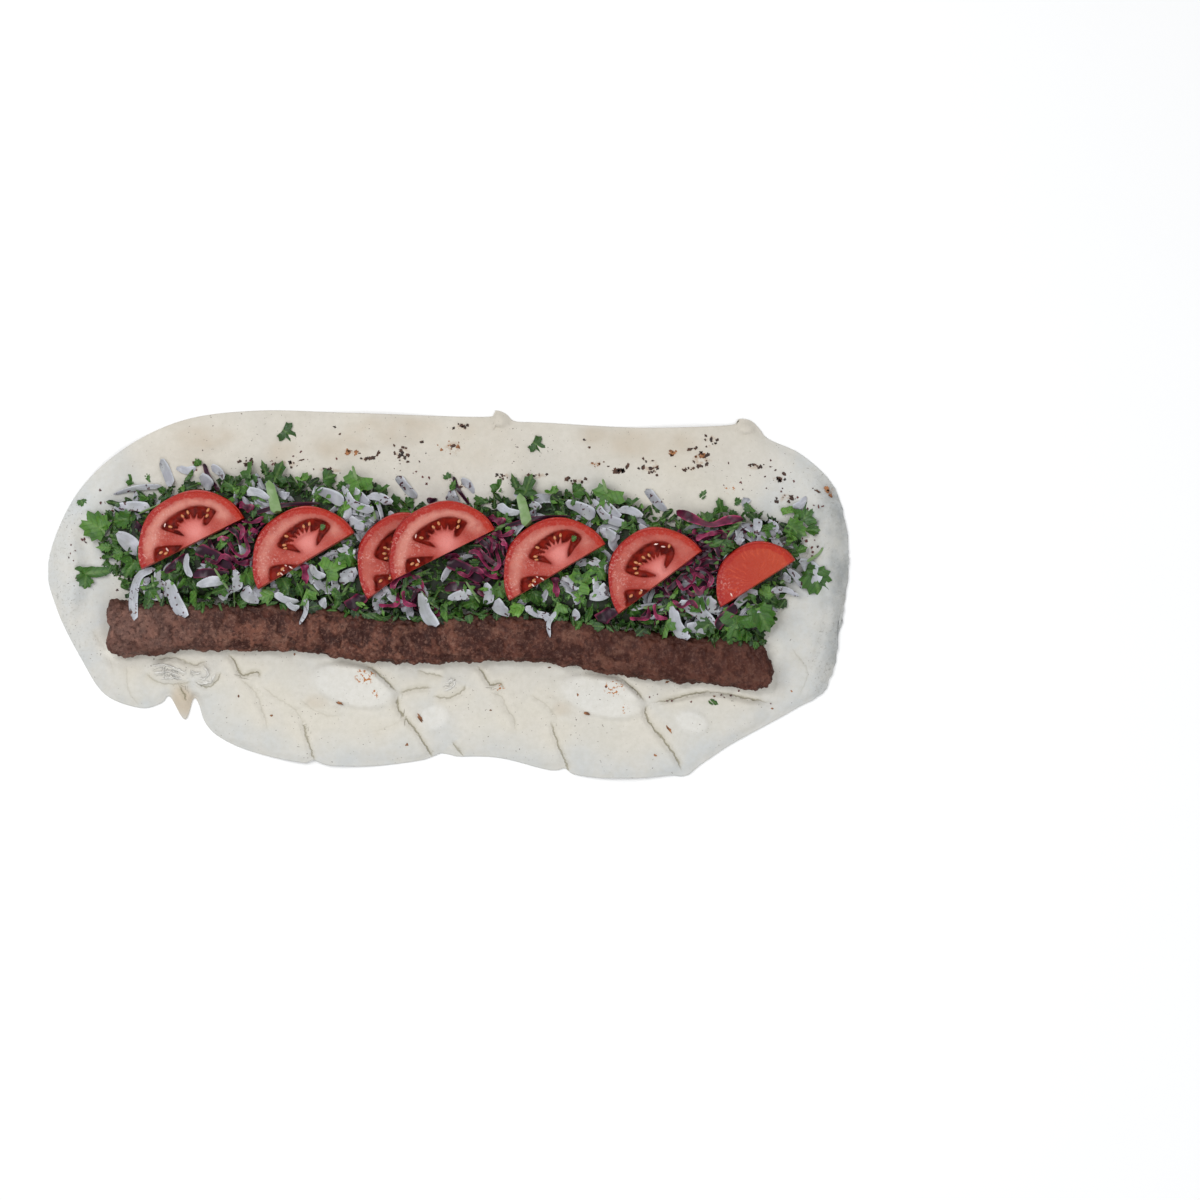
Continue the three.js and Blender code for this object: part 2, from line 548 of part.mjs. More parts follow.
// A lobed leaf piece: a thin wavy solid around its own middle, with both faces split alike.
function leaf([long, wide], lobes = 5, wave = 1) {
  const count = 2 * lobes;
  const edge = (height) =>
    Array.from({ length: count }, (_, i) => {
      const angle = (2 * PI * i) / count;
      const lobe = i % 2 ? 0.7 : 1;
      const x = (long / 2) * cos(angle) * lobe;
      const y = (wide / 2) * sin(angle) * lobe;
      const lift = wave * (0.1 * long * pow(cos(angle), 2) - 0.05 * wide * sin(3 * angle));
      return new THREE.Vector3(x, y, height + max(0, lift));
    });
  const rise = wave * 0.04 * long;
  return skin(
    [edge(0), edge(LEAF_THICKNESS)],
    new THREE.Vector3(0, 0, rise),
    new THREE.Vector3(0, 0, LEAF_THICKNESS + rise),
  );
}

// A strip along a line of points in space, with a flat diamond section that narrows to its ends.
function strip(points, wide, thick) {
  const rings = points.map((point, i) => {
    const before = points[max(0, i - 1)];
    const after = points[min(points.length - 1, i + 1)];
    const along = after.clone().sub(before).setZ(0).normalize();
    const across = new THREE.Vector3(-along.y, along.x, 0);
    const ends = i === 0 || i === points.length - 1 ? 0.6 : 1;
    return [
      point.clone().addScaledVector(across, (wide / 2) * ends),
      point.clone().add(new THREE.Vector3(0, 0, thick * 0.6)),
      point.clone().addScaledVector(across, (-wide / 2) * ends),
      point.clone().add(new THREE.Vector3(0, 0, -thick * 0.4)),
    ];
  });
  return skin(rings);
}

// What a salad piece lies on at a place: the heap's core, or the bread beside it.
function underPiece(x, y) {
  const core = coreTop(x, y);
  return core === null ? { inCore: false, z: breadTop(x, y) + 1.2 * CLEAR } : { inCore: true, z: core };
}

// The middle line of a bent strip: it follows the top of what it lies on.
function bentLine([x, y], reach, bend, turn, steps) {
  return Array.from({ length: steps + 1 }, (_, i) => {
    const share = (2 * i) / steps - 1;
    const angle = turn + bend * share;
    const px = x + reach * share * cos(angle);
    const py = y + reach * share * sin(angle) + reach * 0.3 * bend * (1 - share * share);
    return new THREE.Vector3(px, py, underPiece(px, py).z);
  });
}

// Moves a piece up or down until its lowest place sinks a little into the core, or clears the bread.
function settle(geometry) {
  const ROOT = 0.7;
  const { array } = geometry.getAttribute("position");
  let shift = -Infinity;
  for (let i = 0; i < array.length; i += 3) {
    const [x, y, z] = array.slice(i, i + 3);
    const under = underPiece(x, y);
    shift = max(shift, under.z - (under.inCore ? ROOT : 0) - z);
  }
  return geometry.translate(0, 0, shift);
}

function saladPieces() {
  const random = seededRandom(SCATTERED.seed);
  const between = (low, high) => low + (high - low) * random();
  const pieces = [];
  const addLeaf = ([x, y], turn, size, lobes, tilt) => {
    const geometry = leaf(size, lobes).rotateX(between(-tilt, tilt)).rotateY(between(-tilt, tilt));
    pieces.push(settle(geometry.rotateZ(turn).translate(x, y, 0)));
  };
  for (const { at, turn, size } of BIG_LEAVES) addLeaf(at, turn, size, 5, 0.12);
  for (const { line, wide, over } of ONION_STRIPS) {
    // a strip that hangs over the kebab leaves the heap and lies along the meat's top
    const points = curveThrough(line).getPoints(4);
    const drape = [-2.5, 2.6, 3.6, 3.4, 2.6];
    points.forEach((p, i) => p.setZ(over ? BED + KEBAB_HEIGHT + drape[i] : underPiece(p.x, p.y).z));
    pieces.push(over ? strip(points, wide, 2) : settle(strip(points, wide, 2)));
  }
  for (const { at, reach, turns, turn } of CABBAGE_CURLS)
    pieces.push(settle(strip(bentLine(at, reach, turns, turn, 5), 3, 2.4)));

  // The rest is spread evenly: the heap is walked in steps of the golden ratio.
  const GOLDEN = 0.6180339887;
  let walked = 0;
  const nextPlace = (inset) => {
    for (;;) {
      walked++;
      const x = -205 + 415 * ((walked * GOLDEN) % 1);
      const y = between(-24, 66);
      if (depthInside(heapPlan, x, y) > inset) return [x, y];
    }
  };
  for (let i = 0; i < SCATTERED.leaves; i++)
    addLeaf(nextPlace(1), between(0, 2 * PI), [between(9, 15), between(6, 9)], 3, 0.4);
  for (let i = 0; i < SCATTERED.onion; i++) {
    const line = bentLine(nextPlace(4), between(7, 12), between(-0.6, 0.6), between(-1.2, 0.6), 3);
    pieces.push(settle(strip(line, between(4, 7), 2)));
  }
  for (let i = 0; i < SCATTERED.cabbage; i++) {
    const line = bentLine(nextPlace(4), between(6, 10), between(-1, 1), between(0, PI), 4);
    pieces.push(settle(strip(line, 2.6, 2.2)));
  }
  return pieces;
}

// The core with every piece that stays clear of the kebab, the bread and the toppings.
function salad(neighbours) {
  const solids = neighbours.map(solidOf);
  const kept = saladPieces()
    .map(solidOf)
    .filter((piece) => solids.every((solid) => piece.minGap(solid, 1) > CLEAR * 0.8));
  const heap = manifold.Manifold.union([solidOf(coreMesh.geometry), ...kept]).simplify(0.1);
  const bodies = heap.decompose().sort((a, b) => b.volume() - a.volume());
  return geometryOf(bodies[0]);
}

// ---------------------------------------------------------------- the wrap
const material = (color, roughness) => new THREE.MeshStandardMaterial({ color, roughness, metalness: 0 });
const breadMaterial = material(0xe6e1d4, 0.75);
const meatMaterial = material(0x6b4038, 0.6);
const tomatoMaterial = material(0xc4473a, 0.3);
const saladMaterial = material(0x5d7a45, 0.5);
const leafMaterial = material(0x3f7a34, 0.45);

const wrap = new THREE.Group();

function addMesh(name, geometry, meshMaterial) {
  const mesh = new THREE.Mesh(geometry, meshMaterial);
  mesh.name = name;
  wrap.add(mesh);
  return mesh;
}

addMesh("bread", bread(), breadMaterial);
addMesh("kebab", kebab(), meatMaterial);

// The fourth slice lies half on the third, so it rests one slice higher.
const tomatoMeshes = TOMATOES.map((place, i) => {
  const mesh = addMesh(`tomato_${i + 1}`, tomatoSlice(place), tomatoMaterial);
  mesh.rotation.set(place.lean[0], place.lean[1], place.turn, "ZYX");
  mesh.position.set(place.at[0], place.at[1], restOnHeap(place));
  return mesh;
});
const ON_TOP = 3;
tomatoMeshes[ON_TOP].position.z += TOMATO_THICKNESS * 0.75;

LOOSE_LEAVES.forEach(({ at, turn, size }, i) => {
  const mesh = addMesh(`parsley_leaf_${i + 1}`, leaf(size, 5, 0.7), leafMaterial);
  mesh.rotation.z = turn;
  let under = 0;
  for (let u = -0.5; u <= 0.5; u += 0.125)
    for (let v = -0.5; v <= 0.5; v += 0.125)
      under = max(under, breadTop(at[0] + u * size[0], at[1] + v * size[0]));
  mesh.position.set(at[0], at[1], under + CLEAR);
});

wrap.updateMatrixWorld(true);
const placed = wrap.children.map((mesh) => mesh.geometry.clone().applyMatrix4(mesh.matrixWorld));
addMesh("salad", salad(placed), saladMaterial);

export default wrap;
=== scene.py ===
# %% [markdown]
# # An open flatbread wrap
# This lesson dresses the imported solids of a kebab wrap: a flatbread laid open, one long minced-meat
# kebab, a heap of parsley, onion and red-cabbage salad, and seven half slices of tomato. The solids give
# each piece its place, and the lesson makes the real surfaces over them. All sizes here are in
# millimetres, and they become metres only when points are written into a mesh.

# %% Load the frame
import math

import bpy
import numpy as np
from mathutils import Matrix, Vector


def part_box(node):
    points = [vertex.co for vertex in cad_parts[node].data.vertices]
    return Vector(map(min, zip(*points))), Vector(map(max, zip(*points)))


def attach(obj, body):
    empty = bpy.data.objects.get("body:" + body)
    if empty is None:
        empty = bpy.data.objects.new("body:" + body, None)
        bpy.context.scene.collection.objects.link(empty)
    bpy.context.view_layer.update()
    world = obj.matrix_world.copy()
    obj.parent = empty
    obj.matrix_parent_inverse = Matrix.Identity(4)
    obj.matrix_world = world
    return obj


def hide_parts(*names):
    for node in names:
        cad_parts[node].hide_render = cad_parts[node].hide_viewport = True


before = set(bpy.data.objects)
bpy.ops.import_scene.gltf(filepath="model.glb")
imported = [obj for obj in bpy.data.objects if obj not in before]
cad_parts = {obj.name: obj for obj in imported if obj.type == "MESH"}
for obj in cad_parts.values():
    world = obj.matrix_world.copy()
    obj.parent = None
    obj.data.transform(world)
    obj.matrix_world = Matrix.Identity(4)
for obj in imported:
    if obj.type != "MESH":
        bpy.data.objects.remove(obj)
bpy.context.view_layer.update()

MM = 0.001

# %% [markdown]
# ## The bench: floor, light and camera
# The wrap is seen from straight above, so the camera hangs over it without any tilt. Food looks soft
# under a wide window, so one broad lamp stands a little to the upper left, a weaker one fills the other
# side, a small one puts bright glints on what is wet, and the sky is white. The floor is a plain pale
# sheet that runs out of the picture.

# %% Floor, lamps and camera
CAMERA_OVER = (86.6, -4.0)  # the middle of the picture, on the wrap's own axes
PICTURE_WIDE, PICTURE_LEVEL = 684.0, 10  # the picture is that wide at this height over the floor
CAMERA_HIGH, CAMERA_REACH = 2400.0, 20000
SENSOR = 36.0
FLOOR_WIDE, FLOOR_DROP = 9000, 0.2  # the floor lies a hair below the bread


def start_piece(name, add, **size):
    """Adds a primitive while nothing else is selected, and names it."""
    if bpy.context.mode != "OBJECT":
        bpy.ops.object.mode_set(mode="OBJECT")
    bpy.ops.object.select_all(action="DESELECT")
    add(**size)
    piece = bpy.context.object
    piece.name = piece.data.name = name
    return piece


def add_lamp(name, place, size, power):
    """A square soft lamp that looks at the middle of the bench."""
    lamp = start_piece(name, bpy.ops.object.light_add, type="AREA", location=[v * MM for v in place])
    lamp.data.size = size * MM
    lamp.data.energy = power
    lamp.rotation_euler = (-lamp.location).to_track_quat("-Z", "Y").to_euler()


floor = start_piece("floor", bpy.ops.mesh.primitive_plane_add, size=FLOOR_WIDE * MM,
                    location=(0, 0, -FLOOR_DROP * MM))
add_lamp("window", (-850, 450, 1500), 1100, 13.0)
add_lamp("fill", (700, -700, 1600), 1400, 9.5)
add_lamp("glint", (-380, 520, 1700), 260, 3.2)

sky = bpy.data.worlds.new("sky")
sky.use_nodes = True
sky.node_tree.nodes["Background"].inputs["Color"].default_value = (0.97, 0.985, 1.0, 1)
sky.node_tree.nodes["Background"].inputs["Strength"].default_value = 0.53
bpy.context.scene.world = sky
bpy.context.scene.view_settings.view_transform = "Standard"

camera = start_piece("camera", bpy.ops.object.camera_add,
                     location=(CAMERA_OVER[0] * MM, CAMERA_OVER[1] * MM, CAMERA_HIGH * MM))
camera.rotation_euler = (0, 0, 0)
camera.data.sensor_width = SENSOR
camera.data.lens = SENSOR * (CAMERA_HIGH - PICTURE_LEVEL) / PICTURE_WIDE
camera.data.clip_end = CAMERA_REACH * MM
bpy.context.scene.camera = camera
print("lens:", round(camera.data.lens), "mm")

# %% [markdown]
# ## Tools for shapes
# Dough, meat and leaves have no straight lines, so their points are moved by a few simple rules: a soft
# step from 0 to 1, random hills, a smooth curve through a few places, and the distance from a line or
# an outline. Each works on all the points of a mesh at once.


# %% Steps, hills, curves and distances
def soft_step(value, low, high):
    """0 below low, 1 above high, with a soft rise between them."""
    share = np.clip((value - low) / (high - low), 0, 1)
    return share * share * (3 - 2 * share)


def bell(value, wide):
    """1 at 0, and close to 0 from two widths on."""
    return np.exp(-((value / wide) ** 2))


def hills(x, y, wide, seed, octaves=1):
    """Random smooth hills, from about -1 to 1, each about as wide as asked."""
    total = 0
    for octave in range(octaves):
        grid = np.random.default_rng(seed + octave).uniform(-1, 1, (97, 97))
        u, v = x / wide * 2**octave, y / wide * 2**octave
        i, j = np.floor(u).astype(int), np.floor(v).astype(int)
        fu, fv = soft_step(u - i, 0, 1), soft_step(v - j, 0, 1)
        low = grid[i % 97, j % 97] * (1 - fu) + grid[(i + 1) % 97, j % 97] * fu
        high = grid[i % 97, (j + 1) % 97] * (1 - fu) + grid[(i + 1) % 97, (j + 1) % 97] * fu
        total = total + (low * (1 - fv) + high * fv) / 2**octave
    return total


def curve_through(places, steps, closed=False):
    """A smooth line through the places, with so many steps between each two."""
    places = np.array(places, float)
    count = len(places)
    lines = []
    for i in range(count if closed else count - 1):
        if closed:
            before, here, there, after = (places[(i + k) % count] for k in (-1, 0, 1, 2))
        else:
            here, there = places[i], places[i + 1]
            before = places[i - 1] if i else 2 * here - there
            after = places[i + 2] if i + 2 < count else 2 * there - here
        t = (np.arange(steps) / steps)[:, None]
        start, end = (there - before) / 2, (after - here) / 2
        lines.append(here + start * t + (3 * (there - here) - 2 * start - end) * t**2
                     + (2 * (here - there) + start + end) * t**3)
    return np.vstack(lines if closed else lines + [places[-1:]])


def beside(line, x, y):
    """How far each point is from a broken line, its side (1 on the right) and how far along it is."""
    away = np.full(x.shape, np.inf)
    side, along = np.ones(x.shape), np.zeros(x.shape)
    for k, ((ax, ay), (bx, by)) in enumerate(zip(line[:-1], line[1:])):
        dx, dy, tx, ty = bx - ax, by - ay, x - ax, y - ay
        share = np.clip((dx * tx + dy * ty) / (dx * dx + dy * dy), 0, 1)
        here = np.hypot(tx - dx * share, ty - dy * share)
        near = here < away
        away[near] = here[near]
        side[near] = np.where(dy * tx - dx * ty >= 0, 1.0, -1.0)[near]
        along[near] = (k + share[near]) / (len(line) - 1)
    return away, side, along


def depth_in(outline, x, y):
    """How deep each point lies in a closed outline; below 0 outside it."""
    ring = np.vstack([outline, outline[:1]])
    inside = np.zeros(x.shape, bool)
    for (ax, ay), (bx, by) in zip(ring[:-1], ring[1:]):
        if ay != by:
            inside ^= ((ay > y) != (by > y)) & (x < (bx - ax) * (y - ay) / (by - ay) + ax)
    return beside(ring, x, y)[0] * np.where(inside, 1, -1)


# %% [markdown]
# ## Tools for meshes
# A flat grid is the best start for a sheet: its rows and columns can be pulled to any outline, and an
# extrusion then gives it its second face. These helpers read and write the points of a mesh, paint a
# named mask on them, and hand a finished piece to the frame.


# %% Points, masks and finished pieces
def points_of(piece):
    flat = np.empty(3 * len(piece.data.vertices), np.float32)
    piece.data.vertices.foreach_get("co", flat)
    return flat.reshape(-1, 3).astype(float) / MM


def move_points(piece, points):
    piece.data.vertices.foreach_set("co", (points * MM).astype(np.float32).ravel())
    piece.data.update()


def paint(piece, mask, values):
    """A named number on each point, which a material can read."""
    layer = piece.data.attributes.new(mask, "FLOAT", "POINT")
    layer.data.foreach_set("value", np.asarray(values, np.float32))


def grid_sheet(name, columns, rows):
    """A flat grid, with the column and the row of each of its points."""
    sheet = start_piece(name, bpy.ops.mesh.primitive_grid_add, size=2 * MM,
                        x_subdivisions=columns - 1, y_subdivisions=rows - 1)
    flat = points_of(sheet)
    column = np.rint((flat[:, 0] + 1) / 2 * (columns - 1)).astype(int)
    row = np.rint((flat[:, 1] + 1) / 2 * (rows - 1)).astype(int)
    return sheet, column, row


def extrude_down(piece, deep=1.0):
    """Gives an open sheet a second face and a rim. Returns which points belong to the lower face."""
    top = points_of(piece)[:, 2].max()
    bpy.ops.object.mode_set(mode="EDIT")
    bpy.ops.mesh.select_all(action="SELECT")
    bpy.ops.mesh.extrude_region_move(TRANSFORM_OT_translate={"value": (0, 0, -deep * MM)})
    bpy.ops.object.mode_set(mode="OBJECT")
    return points_of(piece)[:, 2] < top - deep / 2


def close_up(piece, apart=0.01, smooth=60):
    """Merges points that fell together, turns the faces outwards and smooths the shading."""
    bpy.ops.object.select_all(action="DESELECT")
    bpy.context.view_layer.objects.active = piece
    piece.select_set(True)
    bpy.ops.object.mode_set(mode="EDIT")
    bpy.ops.mesh.select_all(action="SELECT")
    bpy.ops.mesh.remove_doubles(threshold=apart * MM)
    bpy.ops.mesh.dissolve_degenerate(threshold=0.001 * MM)
    bpy.ops.mesh.select_all(action="SELECT")
    bpy.ops.mesh.normals_make_consistent(inside=False)
    bpy.ops.object.mode_set(mode="OBJECT")
    bpy.ops.object.shade_smooth_by_angle(angle=math.radians(smooth))


def hand_in(piece, slot, *nodes):
    """The piece rides on the one body and stands for its solids."""
    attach(piece, "root")
    if nodes:
        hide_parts(*nodes)
    triangles = sum(len(face.vertices) - 2 for face in piece.data.polygons)
    print(f"{piece.name}: {triangles} triangles")


# %% [markdown]
# ## Tools for finishes
# Every finish is one principled shader fed by noise and by the painted masks. These helpers make a node
# and join its inputs in one go, so that a finish reads as a short list of what is seen on the surface.


# %% Nodes in a few words
def new_finish(name, **settings):
    """A material whose shader has these settings; an underscore stands for a space."""
    finish = bpy.data.materials.new(name)
    finish.use_nodes = True
    shader = finish.node_tree.nodes["Principled BSDF"]
    for socket, value in settings.items():
        shader.inputs[socket.replace("_", " ")].default_value = value
    return finish, finish.node_tree, shader


def node(tree, kind, inputs=None, **settings):
    """A node with its settings, and with its inputs set to numbers or joined to other nodes."""
    made = tree.nodes.new("ShaderNode" + kind)
    for name, value in settings.items():
        setattr(made, name, value)
    for socket, value in (inputs or {}).items():
        if isinstance(value, bpy.types.NodeSocket):
            tree.links.new(value, made.inputs[socket])
        else:
            made.inputs[socket].default_value = value
    return made


def srgb(red, green, blue):
    """A colour as a screen shows it, from 0 to 255, made into light."""
    light = [((v / 255 + 0.055) / 1.055) ** 2.4 if v > 10 else v / 3295 for v in (red, green, blue)]
    return (*light, 1)


def mask(tree, name):
    return node(tree, "Attribute", attribute_name=name).outputs["Fac"]


def noise(tree, wide, detail=2.0, rough=0.5, stretch=(1, 1, 1)):
    """Noise with spots about as wide as asked, fixed to the object."""
    place = node(tree, "TexCoord").outputs["Object"]
    if stretch != (1, 1, 1):
        place = node(tree, "Mapping", {"Vector": place, "Scale": stretch}).outputs["Vector"]
    inputs = {"Vector": place, "Scale": 1 / (wide * MM), "Detail": detail, "Roughness": rough}
    return node(tree, "TexNoise", inputs).outputs["Fac"]


def rise(tree, value, low, high, to_low=0.0, to_high=1.0):
    """Turns a value between low and high into one between to_low and to_high."""
    inputs = {"Value": value, "From Min": low, "From Max": high, "To Min": to_low, "To Max": to_high}
    return node(tree, "MapRange", inputs).outputs["Result"]


def maths(tree, how, a, b=0.0):
    return node(tree, "Math", {0: a, 1: b}, operation=how).outputs["Value"]


def times(tree, a, b):
    return maths(tree, "MULTIPLY", a, b)


def mix(tree, share, first, second):
    """The first colour, with a share of the second over it."""
    inputs = {"Factor": share, 6: first, 7: second}
    return node(tree, "Mix", inputs, data_type="RGBA").outputs[2]


def over(tree, colour, where, shade, share=1.0):
    """The colour, with a share of a shade over it where a value or a painted mask says."""
    if isinstance(where, str):
        where = mask(tree, where)
    return mix(tree, where if share == 1.0 else times(tree, where, share), colour, srgb(*shade))


def bump(tree, shader, height, deep, before=None):
    inputs = {"Height": height, "Distance": deep * MM, "Strength": 1.0}
    if before is not None:
        inputs["Normal"] = before
    normal = node(tree, "Bump", inputs).outputs["Normal"]
    tree.links.new(normal, shader.inputs["Normal"])
    return normal


def use(tree, value, shader, socket):
    tree.links.new(value, shader.inputs[socket])


floor_finish, tree, shader = new_finish("pale_floor", Roughness=0.9)
nearly_white = [(level, level, level, 1) for level in (0.955, 0.965)]
use(tree, mix(tree, noise(tree, 60), *nearly_white), shader, "Base Color")
floor.data.materials.append(floor_finish)
print("floor finish ready")

# %% [markdown]
# ## The flatbread
# The bread is a thin baked sheet with a wandering outline. It could be sculpted, but a sheet this even is
# easier as a grid that is pulled to the outline column by column, with its rows crowded where creases and
# the rim need them. The heights then come from what made them: lifted rims, lines where the dough
# doubled over, air pockets, a pinched knot and a wrinkled flap.

# %% The bread's plan
BREAD_LONG, BREAD_WIDE = 458, 212
BREAD_COLUMNS, BREAD_ROWS = 356, 134
SHEET, SHEET_EDGE = 2.2, 1.3  # thickness of the dough, and at its rim

# The outline, counter-clockwise from the left end, in shares of half its length and width.
BREAD_OUTLINE = [
    (-1.0, 0.167), (-0.978, -0.091), (-0.915, -0.366), (-0.858, -0.548), (-0.771, -0.62), (-0.718, -0.594),
    (-0.697, -0.557), (-0.659, -0.684), (-0.638, -0.57), (-0.624, -0.6), (-0.608, -0.7), (-0.572, -0.778),
    (-0.493, -0.855), (-0.356, -0.919), (-0.194, -0.935), (-0.02, -0.892), (0.117, -0.887), (0.254, -0.957),
    (0.403, -1.0), (0.582, -0.968), (0.714, -0.806), (0.863, -0.629), (0.945, -0.505), (0.98, -0.172),
    (1.0, 0.204), (0.97, 0.543), (0.888, 0.737), (0.8, 0.83), (0.777, 0.885), (0.755, 0.93), (0.725, 0.939),
    (0.697, 0.905), (0.478, 0.892), (0.241, 0.919), (0.166, 0.927), (0.145, 0.965), (0.122, 0.985),
    (0.1, 0.978), (0.083, 0.95), (-0.256, 0.973), (-0.48, 0.984), (-0.667, 0.93), (-0.821, 0.763),
    (-0.935, 0.516),
]
RIGHT_TIP = 24  # the outline's place furthest to the right
RIM_NOTCHES = [(-76, -97, 3.5, 3), (-4, -94, 3, 6), (66, -102, 3.5, 3), (136, -102, -3, 6)]


def halves(outline, right_tip, steps):
    """The lower and the upper side of a closed outline, both from left to right."""
    around = curve_through(outline, steps, closed=True)
    turn = right_tip * steps
    return around[: turn + 1], np.vstack([around[turn:], around[:1]])[::-1]


def crowded(low, high, count, density):
    """So many places from low to high, crowded where the density is high."""
    fine = np.linspace(low, high, 3000)
    total = np.concatenate([[0], np.cumsum(density((fine[1:] + fine[:-1]) / 2))])
    return np.interp(np.linspace(0, total[-1], count), total, fine)


def pull_to_outline(name, lower, upper, columns, rows, column_density, row_density):
    """A grid sheet whose columns run from the lower to the upper side of an outline."""
    sheet, column, row = grid_sheet(name, columns, rows)
    xs = crowded(lower[0, 0], lower[-1, 0], columns, column_density)
    low, high = np.interp(xs, *lower.T), np.interp(xs, *upper.T)
    ys = np.array([crowded(a, b + 1e-6, rows, lambda y: row_density(y, np.minimum(y - a, b - y)))
                   for a, b in zip(low, high)])
    move_points(sheet, np.stack([xs[column], ys[column, row], 0 * column], 1))
    return sheet


bread_half = np.array([BREAD_LONG / 2, BREAD_WIDE / 2])
bread_lower, bread_upper = halves(np.array(BREAD_OUTLINE) * bread_half, RIGHT_TIP, 8)
for x, y, deep, wide in RIM_NOTCHES:
    bread_lower[:, 1] += deep * bell(np.hypot(bread_lower[:, 0] - x, bread_lower[:, 1] - y), wide)
bread_plan = np.vstack([bread_lower, bread_upper[-2:0:-1]])

bread = pull_to_outline(
    "flatbread", bread_lower, bread_upper, BREAD_COLUMNS, BREAD_ROWS,
    lambda x: 1 + 2.2 / np.sqrt(0.15 + BREAD_LONG / 2 - np.abs(x)) + 2.5 * bell(x + 142, 6),
    lambda y, rim: 0.28 + 0.8 * (y < -30) + 0.45 * (y > 56) + 3.0 * bell(rim, 1.6),
)
print("bread points:", len(bread.data.vertices))

# %% [markdown]
# The load decides where the bread lies flat: under the kebab and the heap it is pressed on the table.
# Their plans are made here once, as the meat and the salad use them again further on.

# %% Plans of the kebab and the heap
BED = 2.35  # where the load stands
KEBAB_WIDE, KEBAB_HIGH = 28, 13.5
KEBAB_PRESS = 23  # spacing of the dents that the cook's fingers leave
KEBAB_LINE = [(-194, -19), (-141, -19), (-84, -20), (-50, -25), (-16, -27),
              (30, -25), (64, -27), (98, -33), (144, -38), (185, -42)]
HEAP_OUTLINE = [
    (-200, 33), (-190, 11), (-174, -4), (-141, -8), (-84, -10), (-46, -14), (-5, -16), (50, -16), (98, -22),
    (144, -27), (175, -27), (184, -12), (198, 13), (198, 34), (172, 44), (132, 44), (92, 54), (52, 57),
    (18, 52), (-10, 48), (-44, 58), (-79, 64), (-124, 65), (-162, 59), (-188, 50),
]
HEAP_TIP = 12
HEAP_HIGH = 12.5
FREE_SLOPE, MEAT_SLOPE = 26, 9  # how far in the heap has its full height
MEAT_ROUGHNESS = 1.2
PUSHES, PUSH = 40, 0.25  # the heap's edge steps back from the meat bit by bit

kebab_line = curve_through(KEBAB_LINE, 24)
kebab_steps = np.hypot(*np.diff(kebab_line, axis=0).T)
kebab_along = np.concatenate([[0], np.cumsum(kebab_steps)])
KEBAB_LONG = kebab_along[-1]


def kebab_frame(along):
    """The place on the kebab's middle line, and the direction to its left."""
    place = np.stack([np.interp(along, kebab_along, axis) for axis in kebab_line.T], 1)
    ahead = np.stack([np.interp(along + 2, kebab_along, axis) for axis in kebab_line.T], 1)
    back = np.stack([np.interp(along - 2, kebab_along, axis) for axis in kebab_line.T], 1)
    forward = ahead - back
    forward /= np.hypot(*forward.T)[:, None]
    return place, np.stack([-forward[:, 1], forward[:, 0]], 1), forward


def kebab_half_width(along):
    """Pressed by fingers, and fuller at the two ends."""
    ends = 0.06 * (bell(along, 0.08 * KEBAB_LONG) + bell(KEBAB_LONG - along, 0.1 * KEBAB_LONG))
    press = 0.025 * np.sin(2 * np.pi * along / KEBAB_PRESS) + 0.02 * np.sin(along / 17 + 1)
    return KEBAB_WIDE / 2 * (0.96 + ends + press)


side_steps = np.linspace(0, KEBAB_LONG, 70)
middle, left, _ = kebab_frame(side_steps)
half = kebab_half_width(side_steps)[:, None]
kebab_plan = np.vstack([middle - left * half, (middle + left * half)[::-1]])

heap_lower, heap_upper = halves(HEAP_OUTLINE, HEAP_TIP, 8)
for _ in range(PUSHES):
    touching = depth_in(kebab_plan, *heap_lower.T) > -MEAT_ROUGHNESS
    heap_lower[touching, 1] += PUSH
heap_plan = np.vstack([heap_lower, heap_upper[-2:0:-1]])
free_edge = heap_plan[(heap_plan[:, 1] > 14) | (heap_plan[:, 0] < -176) | (heap_plan[:, 0] > 186)]


def heap_core_height(x, y):
    """Height of the salad's core over its bed: it climbs from the free edge and along the meat."""
    to_free = np.min([np.hypot(x - px, y - py) for px, py in free_edge], axis=0)
    inside = depth_in(heap_plan, x, y)
    uneven = 1 + 0.05 * np.sin(x / 13 + 1) * np.cos(y / 11) + 0.06 * np.sin(x / 29)
    climbs = [1 - (1 - np.clip(way, 0, 1)) ** 2.2 for way in (to_free / FREE_SLOPE, inside / MEAT_SLOPE)]
    return np.where(inside > 0, HEAP_HIGH * np.minimum(*climbs) * uneven, 0)


print("kebab", round(KEBAB_LONG), "mm long; heap edge of", len(heap_plan), "places")

# %% [markdown]
# Now the bread's relief. Each crease is a line with a narrow valley between two low lips, and on one side
# the dough stands up behind it. Air pockets are flat-topped ovals. A knot is a pinch with thin ridges
# round it, and the flap beside it is finely wrinkled. Everything fades out under the load and at the rim.
# The heights and the colour masks are both worked out on the flat sheet, which carries them along when it
# is extruded.

